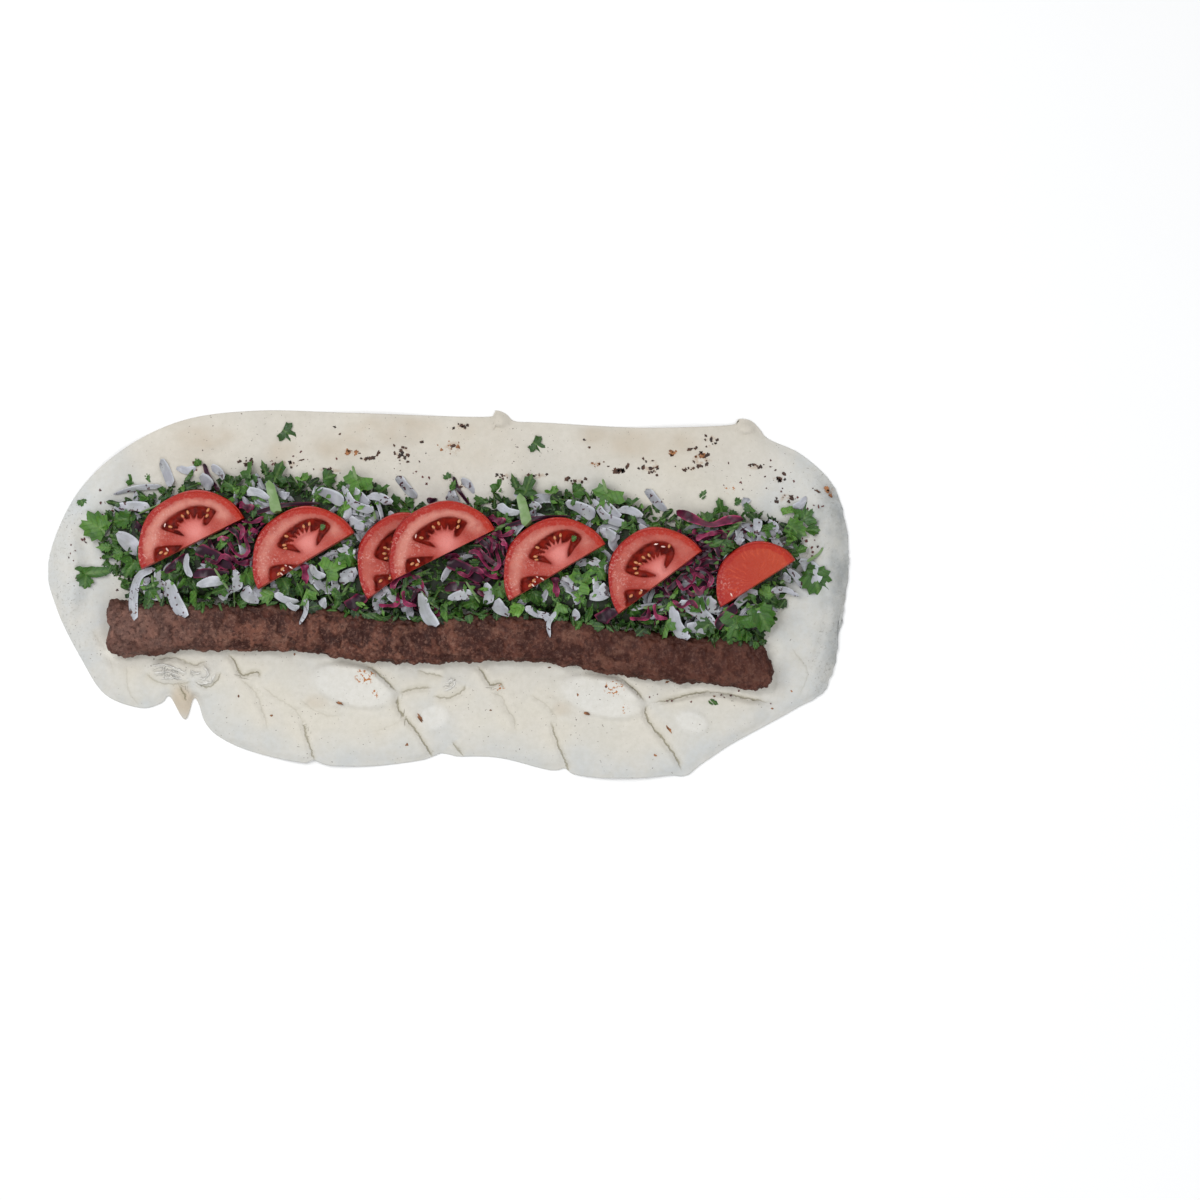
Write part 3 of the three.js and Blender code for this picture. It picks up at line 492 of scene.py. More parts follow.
# %% Lines and pockets of the bread
# Creases: places, depth, width, and the rise behind them, on the right-hand side if it is above 0.
CREASES = [
    ([(-66, -35), (-49, -40), (-37, -49), (-28.5, -57.5)], 1.0, 1.0, 2.0),
    ([(-28.5, -57.5), (-29, -66), (-20, -77), (-12, -89), (-9, -95)], 1.0, 1.1, 1.0),
    ([(-28.5, -57.5), (-18.6, -54.8), (-9, -54)], 0.8, 1.0, 0.7),
    ([(-19, -44), (-9, -46.5), (-2, -48)], 0.7, 1.3, -0.6),
    ([(-10, -59), (0, -60), (8, -56), (10, -52)], 0.8, 1.0, 0.4),
    ([(76, -40), (93, -45), (105, -54), (113.5, -63)], 1.0, 1.0, 2.0),
    ([(113.5, -63), (113, -71), (122, -83), (130, -94), (134, -103)], 1.1, 1.1, 1.0),
    ([(186, -63), (169, -60), (155, -57), (144, -57), (127, -61), (113.5, -63)], 1.0, 1.1, -1.4),
    ([(-127, -33), (-122, -40), (-118, -47), (-110, -45), (-107, -49)], 1.0, 1.0, 1.0),
    ([(-120, -49), (-114, -53), (-109, -60), (-105, -71), (-103, -80)], 0.45, 1.2, 0.6),
    ([(15, -40), (20, -46.5), (24, -52.5), (29, -51.5), (32, -55)], 1.0, 1.0, 1.0),
    ([(23, -56.5), (30, -59), (33.5, -66), (37.5, -72), (38.5, -83)], 0.45, 1.2, 0.6),
    ([(-84, -72), (-80, -86), (-76, -97)], 0.9, 0.9, 0.5),
    ([(58, -72), (62.5, -86), (67, -97), (68.6, -103)], 0.9, 0.9, 0.5),
    ([(2, -85), (9, -94)], 0.8, 0.8, 0.4),
    ([(-169, -38), (-156, -37), (-146, -41), (-137, -38)], 0.7, 0.9, 0.6),
    ([(-174, -45), (-166, -51), (-153, -52), (-146, -50)], 0.6, 0.9, -0.5),
    ([(-146, -50), (-138, -54), (-132, -50), (-130, -44)], 0.8, 1.0, 0.6),
    ([(-154, -53), (-151, -58), (-150, -62)], 1.1, 1.3, -0.8),
    ([(-184, -40), (-183, -55), (-176, -66)], 0.35, 2.0, 0.5),
    ([(-205, -20), (-196, -33), (-190, -49)], 0.3, 2.4, 0.5),
    ([(-108, -53), (-98, -60), (-89, -66), (-80, -76)], 0.4, 1.5, 0.5),
    ([(188, -8), (181, -20), (176, -30)], 0.25, 1.2, 0.4),
    ([(-86, -60), (-78, -66), (-70, -70), (-60, -70)], 0.35, 1.4, -0.5),
    ([(198, 2), (190, -10), (184, -22)], 0.3, 1.0, 0.4), ([(46, -58), (56, -64), (63, -73)], 0.4, 1.4, 0.4),
    ([(-24, -70), (-33, -76), (-46, -80)], 0.3, 1.4, 0.4),
    ([(195, -30), (205, -45), (200, -60)], 0.4, 2.0, -0.5),
]
# Thin raised ridges around the two knots.
RIDGES = [
    [(-141, -41), (-137, -46), (-140, -49), (-144, -48)],
    [(-145, -50), (-141, -52), (-135, -50), (-133, -44)], [(-148, -44), (-144, -46), (-141, -45)],
    [(-4, -56), (1, -54.5), (3.5, -52), (3, -49)], [(-2, -51.5), (1, -50), (1, -48)],
    [(-171, -42), (-163, -41), (-154, -44), (-148, -47)], [(-170, -46), (-160, -45), (-152, -48)],
    [(-165, -49), (-157, -48.5), (-151, -50)],
]
# Air pockets: middle, half axes, turn, rise, and how flat their tops are.
POCKETS = [
    (-54, -53, 25, 12, -0.25, 1.5, 0.86), (88, -59, 25, 12, -0.25, 1.5, 0.86),
    (139, -74, 10, 7, -0.3, 1.1, 0.7), (-8, -71, 9, 8, 0.2, 1.0, 0.7), (-113, -72, 24, 12, -0.5, 1.3, 0.3),
    (30, -76, 22, 13, -0.2, 1.3, 0.3), (97, -88, 24, 9, 0.1, 1.2, 0.3), (-45, -87, 24, 8, 0, 1.2, 0.3),
    (-184, -50, 16, 10, -0.7, 1.0, 0.3), (168, -72, 17, 8, 0.5, 1.2, 0.3), (-40, 89, 24, 7, 0, 1.0, 0.3),
    (106, 82, 26, 8, 0, 1.0, 0.3), (-141, 86, 20, 8, 0.3, 0.9, 0.3), (29, 99, 6, 4, 0, 1.8, 0.8),
    (170, 95, 6, 4, 0, 1.8, 0.8), (-88, -62, 9, 5, 0.3, 0.8, 0.6), (55, -64, 8, 5, 0.2, 0.8, 0.6),
]
FLAP = (-161, -45, 14, 6, -0.15)
PRESSED_HALF = (203, 38)  # within this far of the middle the load presses the dough flat


def oval(x, y, cx, cy, long, wide, turn=0.0):
    """1 on the rim of a turned oval, 0 in its middle."""
    u = ((x - cx) * math.cos(turn) + (y - cy) * math.sin(turn)) / long
    v = ((y - cy) * math.cos(turn) - (x - cx) * math.sin(turn)) / wide
    return np.hypot(u, v)


def near_line(line, x, y, reach):
    """The points close to a line, with their distance, side and share along it."""
    low, high = line.min(axis=0) - reach, line.max(axis=0) + reach
    close = np.flatnonzero((x > low[0]) & (x < high[0]) & (y > low[1]) & (y < high[1]))
    return (close, *beside(line, x[close], y[close]))


print("creases:", len(CREASES), "ridges:", len(RIDGES), "pockets:", len(POCKETS))

# %% Heights on the flat sheet
points = points_of(bread)
x, y = points[:, 0], points[:, 1]
depth = np.maximum(0, depth_in(bread_plan, x, y))
to_load = -np.maximum(depth_in(kebab_plan, x, y), depth_in(heap_plan, x, y))
clear = soft_step(to_load, 0.5, 6)
waving = 4 * (1 + np.sin(y / 11 + x / 80))
past_load = np.maximum(np.abs(x) - PRESSED_HALF[0] - waving, np.abs(y - 4) - PRESSED_HALF[1])
off_bed = soft_step(past_load, 0, 10)

arch = soft_step(depth, 0, 13) * (1 - soft_step(depth, 14, 38))
ends = np.where(x > 0, soft_step(x, 180, 215), 0.6 * soft_step(-x, 170, 215))
wave = 0.5 + 0.5 * np.sin(x / 19 + 1.3) * np.cos(x / 31 - 0.4)
curl = (1 - soft_step(depth, 0, 16)) * np.maximum(0, np.sin(x / 27 + y / 40 + 0.5)) ** 2
lift = (arch * (1.2 * wave + 4.2 * ends) + 2.0 * curl * (1 - ends)) * off_bed

relief = 0.4 * (1 + np.sin(x / 14) * np.cos(y / 9)) + 0.35 * hills(x, y, 17, 3, 2) + 0.1 * hills(x, y, 5, 5)
crease_deep, near_crease, ridge_deep = np.zeros((3, len(x)))
crease_off, ridge_off = np.full((2, len(x)), 40.0)


def keep_nearest(off, deep, close, signed, strength):
    """Keeps, at each point, how far the nearest line is, with its side as the sign."""
    nearer = np.abs(signed) < np.abs(off[close])
    off[close[nearer]] = signed[nearer]
    deep[close[nearer]] = strength[nearer]


for places, deep, wide, rise_by in CREASES:
    close, away, side, along = near_line(curve_through(places, 6), x, y, 30)
    fade = soft_step(along, 0, 0.15) * (1 - soft_step(along, 0.8, 1))
    relief[close] -= deep * (0.25 + 0.75 * fade) * bell(away, 1.6 * wide)
    relief[close] += 0.3 * deep * fade * bell(away - 3.2 * wide, 1.5 * wide)
    puff = bell(away, 12) * soft_step(away, 0, 2.2) * np.where(side == np.sign(rise_by), abs(rise_by), 0)
    relief[close] += puff * fade
    keep_nearest(crease_off, crease_deep, close, away * side * np.sign(rise_by), min(1, deep) ** 1.6 * fade)
    near_crease[close] = np.maximum(near_crease[close], fade * bell(away, 7))
for places in RIDGES:
    close, away, side, along = near_line(curve_through(places, 5), x, y, 8)
    fade = soft_step(along, 0, 0.2) * (1 - soft_step(along, 0.7, 1))
    relief[close] += 1.0 * fade * bell(away, 1.0)
    keep_nearest(ridge_off, ridge_deep, close, away * side, fade)
for cx, cy, long, wide, turn, rise_by, flat_top in POCKETS:
    away = oval(x, y, cx, cy, long, wide, turn)
    relief += rise_by * (1 - soft_step(away, flat_top, 1.1)) - 0.2 * rise_by * bell(away - 1.14, 0.08)
flap = 1 - soft_step(oval(x, y, *FLAP), 0.6, 1.1)
relief += flap * 0.22 * hills(x + 2 * y, 2.2 * y, 3.0, 8, 2)
relief = np.maximum(-0.9, relief) * clear * soft_step(depth, 0, 4)

thick = SHEET_EDGE + (SHEET - SHEET_EDGE) * soft_step(depth, 0, 6)
rim = np.sqrt(1 - (1 - np.clip(depth / 0.8, 0, 1)) ** 2)
ragged = (1 - soft_step(depth, 0, 4)) * soft_step(x, 200, 215) * (1 - soft_step(y, 40, 70))
points[:, 0] = x + 0.8 * ragged * hills(x, y, 2.4, 71, 2)
move_points(bread, points)
paint(bread, "top_height", lift + thick / 2 * (1 + rim) + relief)
paint(bread, "under_height", lift + thick / 2 * (1 - rim))
print("relief from", round(relief.min(), 1), "to", round(relief.max(), 1), "mm")

# %% [markdown]
# The bread is a cool white on its front rim and its left end, cream along the creases, and a dull beige at
# the back, where soft brown clouds lie on the puffed places. Some of its colour is painted light and shade:
# shade at the ends where the dough turns down and in the creases, highlights on the ridges and on four
# pockets, and light on the dough in front of the kebab. Charred specks gather in clusters, and single
# toasted flecks lie on the pockets. Masks say where, and fine noise breaks them up.

# %% Masks of the bread
BROWN_CLOUDS = [(-30, 93, 34, 10), (112, 86, 36, 10), (-139, 89, 22, 7), (8, 92, 10, 6), (-150, -62, 9, 8),
                (-60, 84, 18, 10), (82, 90, 14, 6), (-75, -62, 8, 5), (66, -66, 8, 5), (-96, 80, 12, 8)]
# Char clusters: middle, half axes, and 1 if they are only toasted.
CHAR_CLUSTERS = [
    (-114, 74, 4, 2, 0), (-93, 74, 8, 2, 0), (-68, 70, 8, 1.5, 0), (-57, 80.5, 4, 1.5, 1),
    (-47, 77, 3, 1, 0), (-26, 79, 5, 4, 0), (3, 83, 6, 4, 1), (8, 95, 4, 2, 0), (9, 61, 4, 1.5, 0),
    (31, 67, 5, 1.5, 0), (50, 67, 7, 1.5, 0), (74, 64, 8, 1.5, 0), (84, 74, 4, 1.5, 1), (96, 70, 3, 1, 0),
    (116, 72, 5, 4, 0), (145, 76, 6, 4, 0), (150, 87, 4, 4, 0), (137, 71, 4, 1.5, 0), (143, 79, 5, 2, 1),
    (176, 72, 6, 1.5, 0), (188, 65, 4, 2, 0), (217, 58, 5, 3, 1), (193, 54, 5, 3, 0), (128, 80, 3, 1.5, 1),
]
TWIN = np.array([142.5, -7.5])  # from a thing in the left half to its likeness in the right half
# Single charred or toasted flecks: middle, half axes, turn. The first ones are there twice.
TWIN_FLECKS = [
    (-46.5, 76.8, 1.9, 1.1, 0.5), (-43, 77.4, 1.9, 1.3, 0.3), (-40.2, 80.1, 1.1, 2.0, -0.4),
    (-31.1, 84.4, 0.7, 0.9, 0), (-30.9, 80.4, 0.6, 0.6, 0), (-25.9, 83.1, 1.0, 0.7, 0),
    (-26.6, 78.7, 1.9, 1.0, 0.1), (-23.1, 79, 1.3, 1.4, 0), (-25.2, 77.2, 0.8, 0.9, 0),
    (-23.4, 74.9, 1.3, 0.7, 0.2), (-27.8, 75.9, 0.8, 0.6, 0), (-15, 86.5, 1.4, 0.9, 0.2),
    (-62, 90.8, 0.9, 0.7, 0), (-65, 95, 1.1, 0.8, 0), (-50.9, 79.9, 0.9, 0.6, 0),
    (-12.9, 79.9, 0.5, 0.5, 0),
]
FLECKS = TWIN_FLECKS + [(x + TWIN[0], y + TWIN[1], *sizes) for x, y, *sizes in TWIN_FLECKS] + [
    (138, 82, 1.8, 1, 0.2), (141.5, 82.8, 1.6, 1, 0.2), (148, 79, 1.4, 1.2, 0), (150, 88, 0.9, 1.2, 0),
    (174, 73.5, 1.8, 1.1, -0.3), (178, 72, 1.6, 0.9, -0.3), (192, 68, 1.3, 1.3, 0), (211, 58, 2, 0.9, -0.5),
    (-16, -71.6, 3.2, 1.1, -1.0), (-62, -63, 2.2, 0.8, -0.3), (-23.7, -86.6, 1, 0.8, 0),
    (-5.2, -88.3, 0.9, 0.7, 0), (57.6, -42.7, 1, 0.6, 0), (74, -58.1, 0.9, 0.9, 0),
    (79.4, -69, 2.2, 0.8, -0.3), (126.3, -78.3, 3, 1, -1.0), (118.4, -92.8, 1, 0.8, 0),
    (-101, -70, 1.2, 0.6, 0.5), (3, 84, 2.2, 1.1, 0.4), (-84, 76, 2, 0.7, 0.3), (-120, -59, 0.6, 0.9, 0),
    (-88, -35, 0.5, 0.9, 0), (24, -67, 0.7, 0.5, 0), (185, -66, 0.8, 0.6, 0), (196, -56, 0.7, 0.7, 0),
    (152, -59, 0.7, 0.6, 0), (125, -51, 1.2, 0.8, 0.5),
]
SUMAC_ZONES = [(-203, 52, 18, 18), (-186, 2, 14, 14), (-212, 20, 10, 20), (205, 50, 14, 20),
               (206, 22, 12, 16), (203, 30, 12, 12),
               (180, 66, 26, 10), (-120, 74, 50, 8), (-20, 66, 30, 8), (150, -60, 50, 8)]
TOASTED_DOTS = [(-47.5, -47.5, 6, 5), (94.5, -54.5, 6, 5), (-42, -58, 1.5, 3), (101, -66, 1.5, 3),
                (161, 60, 3, 3), (29, -54, 3, 2)]
WRINKLED = [(-161, -45, 17, 8), (-140, -47, 13, 9), (0, -52, 12, 8), (-18, -48, 14, 6), (-104, -56, 14, 8),
            (-70, -68, 9, 8), (38, -62, 12, 8), (-150, -60, 8, 10), (112, -70, 10, 8)]


def spots(places, soft=0.4):
    """The masks of many ovals laid together."""
    total = np.zeros(len(x))
    for place in places:
        close = np.flatnonzero((np.abs(x - place[0]) < 45) & (np.abs(y - place[1]) < 20))
        total[close] = np.maximum(total[close], 1 - soft_step(oval(x[close], y[close], *place), soft, 1.15))
    return total


at_rim = 1 - soft_step(depth, 1, 24)
# Cool grey at the rim and at both ends; at the ends it is partly painted shade where the dough turns down.
grey_and_end_shade = soft_step(np.abs(x), 160, 215) * 0.8 + at_rim * 0.7 * (y < 20) - 0.5 * near_crease
paint(bread, "grey_and_end_shade", np.clip(0.35 + grey_and_end_shade + 0.35 * hills(x, y, 26, 11, 2), 0, 1))
paint(bread, "beige",
      soft_step(y, 48, 84) * (1 - soft_step(np.abs(x), 165, 212)) * (0.75 + 0.3 * hills(x, y, 28, 15)))
# Painted shade on the right end, where the dough slopes down to the table.
paint(bread, "slope_shade",
      soft_step(x, 203, 227) * (1 - soft_step(y, 40, 90) * 0.6) * (0.75 + 0.35 * hills(x, y, 14, 17, 2)))
paint(bread, "clouds", spots(BROWN_CLOUDS) * (0.7 + 0.4 * hills(x, y, 9, 21, 2)))
# Painted light on the raised tops of the first four air pockets.
paint(bread, "lit_pocket_tops", spots([pocket[:5] for pocket in POCKETS[:4]], 0.75) * clear)
paint(bread, "wrinkled", spots(WRINKLED, 0.3) * clear)
paint(bread, "char", spots([cluster[:4] for cluster in CHAR_CLUSTERS]))
paint(bread, "toast", spots(TOASTED_DOTS))
# Painted light on the dough just in front of the kebab, over the kebab's shadow.
paint(bread, "light_by_meat", (1 - soft_step(-depth_in(kebab_plan, x, y), 0.5, 8)) * soft_step(-y, 20, 34))
paint(bread, "tab", spots([(-152, -62, 8, 12, 0.3)], 0.5))
paint(bread, "grit",
      soft_step(np.abs(x), 196, 226) * (0.5 + 0.5 * hills(x, y, 12, 61)) * (1 - soft_step(depth, 8, 26)))
for name, off, deep in (("crease", crease_off, crease_deep), ("ridge", ridge_off, ridge_deep)):
    paint(bread, name + "_off", np.clip(off, -4, 4))
    paint(bread, name + "_deep", deep * clear * (1 - soft_step(np.abs(off), 2.0, 2.9)))

lower_face = extrude_down(bread)
points = points_of(bread)
heights = {}
for side in ("top_height", "under_height"):
    values = np.empty(len(points), np.float32)
    bread.data.attributes[side].data.foreach_get("value", values)
    heights[side] = values
    bread.data.attributes.remove(bread.data.attributes[side])
points[:, 2] = np.where(lower_face, heights["under_height"], heights["top_height"])
move_points(bread, points)
close_up(bread)
print("bread stands", round(points[:, 2].max(), 1), "mm high at its highest fold")

# %% Finish of the bread
bread_finish, tree, shader = new_finish("baked_dough", Roughness=0.62, Specular_IOR_Level=0.3)
# Cream, turning cool grey where the mask says; at the ends this grey is partly painted shade.
colour = mix(tree, mask(tree, "grey_and_end_shade"), srgb(212, 207, 195), srgb(198, 200, 199))
colour = over(tree, colour, "beige", (199, 190, 176), 0.85)
patch = rise(tree, noise(tree, 20, 4, 0.6), 0.38, 0.68, 0, 0.6)
colour = over(tree, colour, patch, (213, 208, 198))
# Painted shade: the right end is darker where the dough slopes down.
slope_shade = rise(tree, noise(tree, 6, 5, 0.7), 0.36, 0.64, 0.55, 1.25)
slope_shade = times(tree, mask(tree, "slope_shade"), slope_shade)
colour = over(tree, colour, slope_shade, (156, 159, 159))
colour = over(tree, colour, "clouds", (184, 166, 142), 0.42)
# Painted light: the tops of the first four pockets are whiter.
colour = over(tree, colour, "lit_pocket_tops", (226, 225, 221), 0.45)
# Painted light in front of the kebab, over its shadow.
colour = over(tree, colour, "light_by_meat", (246, 243, 232), 0.5)
colour = over(tree, colour, "tab", (196, 178, 152), 0.6)
mottle = rise(tree, noise(tree, 3.2, 4, 0.65), 0.38, 0.75)
colour = over(tree, colour, mottle, (182, 178, 164), 0.3)
# Painted shade: a thin dark line along each crease, and a painted shadow on its low side.
wander = rise(tree, noise(tree, 2.6, 3, 0.6), 0.3, 0.7, -0.55, 0.55)
off = maths(tree, "ADD", mask(tree, "crease_off"), wander)
line = rise(tree, maths(tree, "ABSOLUTE", off), 0.08, 0.7, 1, 0)
line = times(tree, mask(tree, "crease_deep"), line)
crease_shadow_side = times(tree, rise(tree, off, -2.6, -0.1), rise(tree, off, 0.0, 0.3, 1, 0))
crease_shadow_side = times(tree, crease_shadow_side, mask(tree, "crease_deep"))
colour = over(tree, colour, crease_shadow_side, (170, 164, 142), 0.45)
colour = over(tree, colour, line, (128, 120, 92), 0.7)
# Painted highlight: a pale line along each ridge.
ridge = maths(tree, "ABSOLUTE", maths(tree, "ADD", mask(tree, "ridge_off"), wander))
ridge = times(tree, mask(tree, "ridge_deep"), rise(tree, ridge, 0.1, 0.8, 1, 0))
colour = over(tree, colour, ridge, (236, 234, 228), 0.8)
halo = times(tree, rise(tree, mask(tree, "char"), 0.0, 0.8, 0, 0.42),
             rise(tree, noise(tree, 3, 3, 0.6), 0.46, 0.58))
colour = over(tree, colour, halo, (160, 124, 90))
toast = times(tree, rise(tree, mask(tree, "toast"), 0.02, 0.4),
              rise(tree, noise(tree, 1.8, 2, 0.6), 0.555, 0.6))
colour = over(tree, colour, toast, (176, 112, 58))
dust = times(tree, rise(tree, noise(tree, 1.2, 1, 0.5), 0.735, 0.76),
             rise(tree, noise(tree, 30, 1), 0.35, 0.6))
colour = over(tree, colour, dust, (96, 84, 76))
grit = times(tree, rise(tree, noise(tree, 1.6, 3, 0.7), 0.56, 0.66), mask(tree, "grit"))
colour = over(tree, colour, grit, (126, 124, 120), 0.7)
use(tree, colour, shader, "Base Color")
soft = bump(tree, shader, noise(tree, 6, 4, 0.6), 0.45)
wrinkles = times(tree, mask(tree, "wrinkled"), noise(tree, 3.4, 4, 0.6, stretch=(0.5, 1, 1)))
soft = bump(tree, shader, wrinkles, 0.6, before=soft)
folds = maths(tree, "SUBTRACT", times(tree, ridge, 1.6), line)
soft = bump(tree, shader, folds, 0.35, before=soft)
bump(tree, shader, noise(tree, 0.9, 3, 0.6), 0.07, before=soft)
bread.data.materials.append(bread_finish)
hand_in(bread, "bread", "bread")

# %% [markdown]
# The charred specks are thin flakes of burnt crust with sharp outlines, so they are real little discs that
# lie on the dough, and so are the crumbs of dark red sumac that fell beside the salad. One flake is
# modelled, and each copy gets its own ragged outline. They are all joined into one mesh.

# %% Flecks on the bread
FLAKE_CORNERS = 12
CHAR_SIZES, CHAR_EACH = [0.45, 0.6, 0.9, 1.3], 9  # half lengths, and how many a cluster has
SUMAC_SIZES, SUMAC_EACH = [0.4, 0.6, 0.8], 11
FROM_RIM = 4


def start_disc(name, corners, fill):
    return start_piece(name, bpy.ops.mesh.primitive_circle_add, vertices=corners, radius=MM, fill_type=fill)


def joined_copies(name, points, faces, **masks):
    """Many copies of modelled things as one mesh, with the masks on their points."""
    mesh = bpy.data.meshes.new(name)
    mesh.from_pydata(points * MM, [], faces)
    piece = bpy.data.objects.new(name, mesh)
    bpy.context.scene.collection.objects.link(piece)
    for mask_name, values in masks.items():
        paint(piece, mask_name, values)
    return piece


fleck = start_disc("fleck", FLAKE_CORNERS, "NGON")
extrude_down(fleck)
flake = points_of(fleck)
flake_faces = [face.vertices[:] for face in fleck.data.polygons]
spoke = np.rint(np.arctan2(flake[:, 1], flake[:, 0]) / np.pi * (FLAKE_CORNERS / 2)).astype(int)
spoke = spoke % FLAKE_CORNERS
bpy.data.objects.remove(fleck)

fleck_chance = np.random.default_rng(3)


def strewn(cx, cy, long, wide, sizes, toasted, sumac):
    """A fleck at a random place near the middle of a cluster."""
    size = fleck_chance.choice(sizes) * fleck_chance.uniform(0.7, 1.3, 2)
    return (fleck_chance.normal(cx, long / 2), fleck_chance.normal(cy, wide / 2), *size,
            fleck_chance.uniform(0, 3), toasted, sumac)


laid = [(*fleck_place, float(fleck_place[1] < 0), 0.0) for fleck_place in FLECKS]
for cx, cy, long, wide, toasted in CHAR_CLUSTERS:
    laid += [strewn(cx, cy, long, wide, CHAR_SIZES, toasted, 0.0) for _ in range(CHAR_EACH)]
for cx, cy, long, wide in SUMAC_ZONES:
    laid += [strewn(cx, cy, long, wide, SUMAC_SIZES, 0.0, 1.0) for _ in range(SUMAC_EACH)]
laid = np.array(laid)
laid = laid[depth_in(bread_plan, laid[:, 0], laid[:, 1]) > FROM_RIM]

bread_tops = points_of(bread)
fleck_corners = []
for fx, fy, long, wide, turn, _, _ in laid:
    ragged = fleck_chance.uniform(0.45, 1.25, FLAKE_CORNERS)[spoke]
    u, v = flake[:, 0] * long * ragged, flake[:, 1] * wide * ragged
    px, py = fx + u * math.cos(turn) - v * math.sin(turn), fy + u * math.sin(turn) + v * math.cos(turn)
    around = np.hypot(bread_tops[:, 0] - fx, bread_tops[:, 1] - fy) < max(long, 2)
    on_top = bread_tops[around, 2].max() if around.any() else BED
    fleck_corners.append(np.column_stack([px, py, on_top + 0.08 + 0.6 * flake[:, 2]]))
fleck_faces = [[v + k * len(flake) for v in face] for k in range(len(laid)) for face in flake_faces]
flecks = joined_copies("crust_flecks", np.vstack(fleck_corners), fleck_faces,
                       toasted=np.repeat(laid[:, 5], len(flake)), sumac=np.repeat(laid[:, 6], len(flake)))
fleck_finish, tree, shader = new_finish("burnt_crust", Roughness=0.7)
patchy = rise(tree, noise(tree, 3, 3), 0.35, 0.65)
colour = mix(tree, patchy, srgb(30, 20, 16), srgb(84, 52, 34))
colour = mix(tree, mask(tree, "toasted"), colour, mix(tree, patchy, srgb(88, 52, 28), srgb(164, 108, 64)))
colour = mix(tree, mask(tree, "sumac"), colour, mix(tree, patchy, srgb(52, 20, 22), srgb(104, 48, 44)))
use(tree, colour, shader, "Base Color")
flecks.data.materials.append(fleck_finish)
close_up(flecks, smooth=40)
print("flecks on the bread:", len(laid))
hand_in(flecks, "bread")

# %% [markdown]
# ## The kebab
# Minced meat pressed along a skewer and grilled is a long bar with blunt ends, finger dents and a crumbly
# crust. A sphere with many rings is pulled out along the meat's line, which closes both ends by itself,
# and three displace modifiers add lumps, grains and crumbs. A mask keeps how far each point stands
# out, because the deeper grain is painted darker, as shade, while the tops stay paler.

# %% Shape of the kebab
KEBAB_RINGS, KEBAB_ROUND = 520, 92
SQUARENESS = 0.62  # below 1, the section is a rounded bar
BLUNT = 6.0  # length of the rounded end
NOSE = 1.6  # how far each end stands out of the middle line
FOOT = 2.5  # how much wider the left end is on its front side

kebab = start_piece("minced_kebab", bpy.ops.mesh.primitive_uv_sphere_add, segments=KEBAB_ROUND,
                    ring_count=KEBAB_RINGS, radius=MM)
ball = points_of(kebab)
ring = np.rint(np.arccos(np.clip(ball[:, 2], -1, 1)) / np.pi * KEBAB_RINGS).astype(int)
angle = np.arctan2(ball[:, 1], ball[:, 0])


def signed_root(value):
    return np.sign(value) * np.abs(value) ** SQUARENESS


def meat_point(along, angle):
    """Points on the smooth bar before it gets its crust."""
    within = np.clip(along, 0, KEBAB_LONG)
    place, left, forward = kebab_frame(within)
    from_end = np.minimum(along + NOSE, KEBAB_LONG + NOSE - along)
    blunt = (1 - (1 - np.clip(from_end / BLUNT, 0, 1)) ** 3.4) ** (1 / 3.4)
    out = kebab_half_width(within) * blunt * signed_root(np.cos(angle))
    out = out - FOOT * bell(within - 20, 20) * np.clip(-np.cos(angle), 0, 1) * blunt
    hollow = 2.4 * bell(out + 1, 9) * (1 - soft_step(along, 0, 9))
    hollow = hollow - 7 * soft_step(out, -6, 13) * soft_step(along, KEBAB_LONG - 20, KEBAB_LONG)
    hollow = hollow - 5 * soft_step(-out, 7, 14) * soft_step(along, KEBAB_LONG - 12, KEBAB_LONG)
    flat = place + left * out[:, None] + forward * (along - within + hollow)[:, None]
    dent = 1 + 0.05 * np.sin(2 * np.pi * within / KEBAB_PRESS + 1) + 0.03 * np.sin(within / 6)
    up = KEBAB_HIGH * dent / 2 * (1 + blunt * signed_root(np.sin(angle)))
    return np.column_stack([flat, BED + up])


alongs = crowded(-NOSE, KEBAB_LONG + NOSE, KEBAB_RINGS + 1,
                 lambda a: 1 + 3 * bell(np.minimum(a, KEBAB_LONG - a), 4))
move_points(kebab, meat_point(alongs[ring], angle))
close_up(kebab)
smooth_bar = points_of(kebab)


def grain(piece, name, kind, wide, deep, **settings):
    """Pushes the surface in and out by a solid texture, and applies it."""
    texture = bpy.data.textures.new(name, kind)
    texture.noise_scale = wide * MM
    for setting, value in settings.items():
        setattr(texture, setting, value)
    push = piece.modifiers.new(name, "DISPLACE")
    push.texture, push.texture_coords = texture, "LOCAL"
    push.strength, push.mid_level = deep * MM, 0.5
    bpy.ops.object.modifier_apply(modifier=name)


grain(kebab, "lumps", "CLOUDS", 8.5, 4.2, noise_depth=1)
grain(kebab, "grains", "VORONOI", 3.0, -1.3, distance_metric="DISTANCE", noise_intensity=1.2)
grain(kebab, "crumbs", "CLOUDS", 1.6, 1.6, noise_depth=3)
points = points_of(kebab)
outward = np.empty(3 * len(points), np.float32)
kebab.data.vertices.foreach_get("normal", outward)
stands = np.einsum("ij,ij->i", points - smooth_bar, outward.reshape(-1, 3))
paint(kebab, "stands", np.clip(0.5 + stands / 2.4, 0, 1))
points[:, 2] = np.maximum(points[:, 2], BED - 0.15)
move_points(kebab, points)
away, side, _ = beside(kebab_line, points[:, 0], points[:, 1])
across = away / (KEBAB_WIDE / 2) * -side
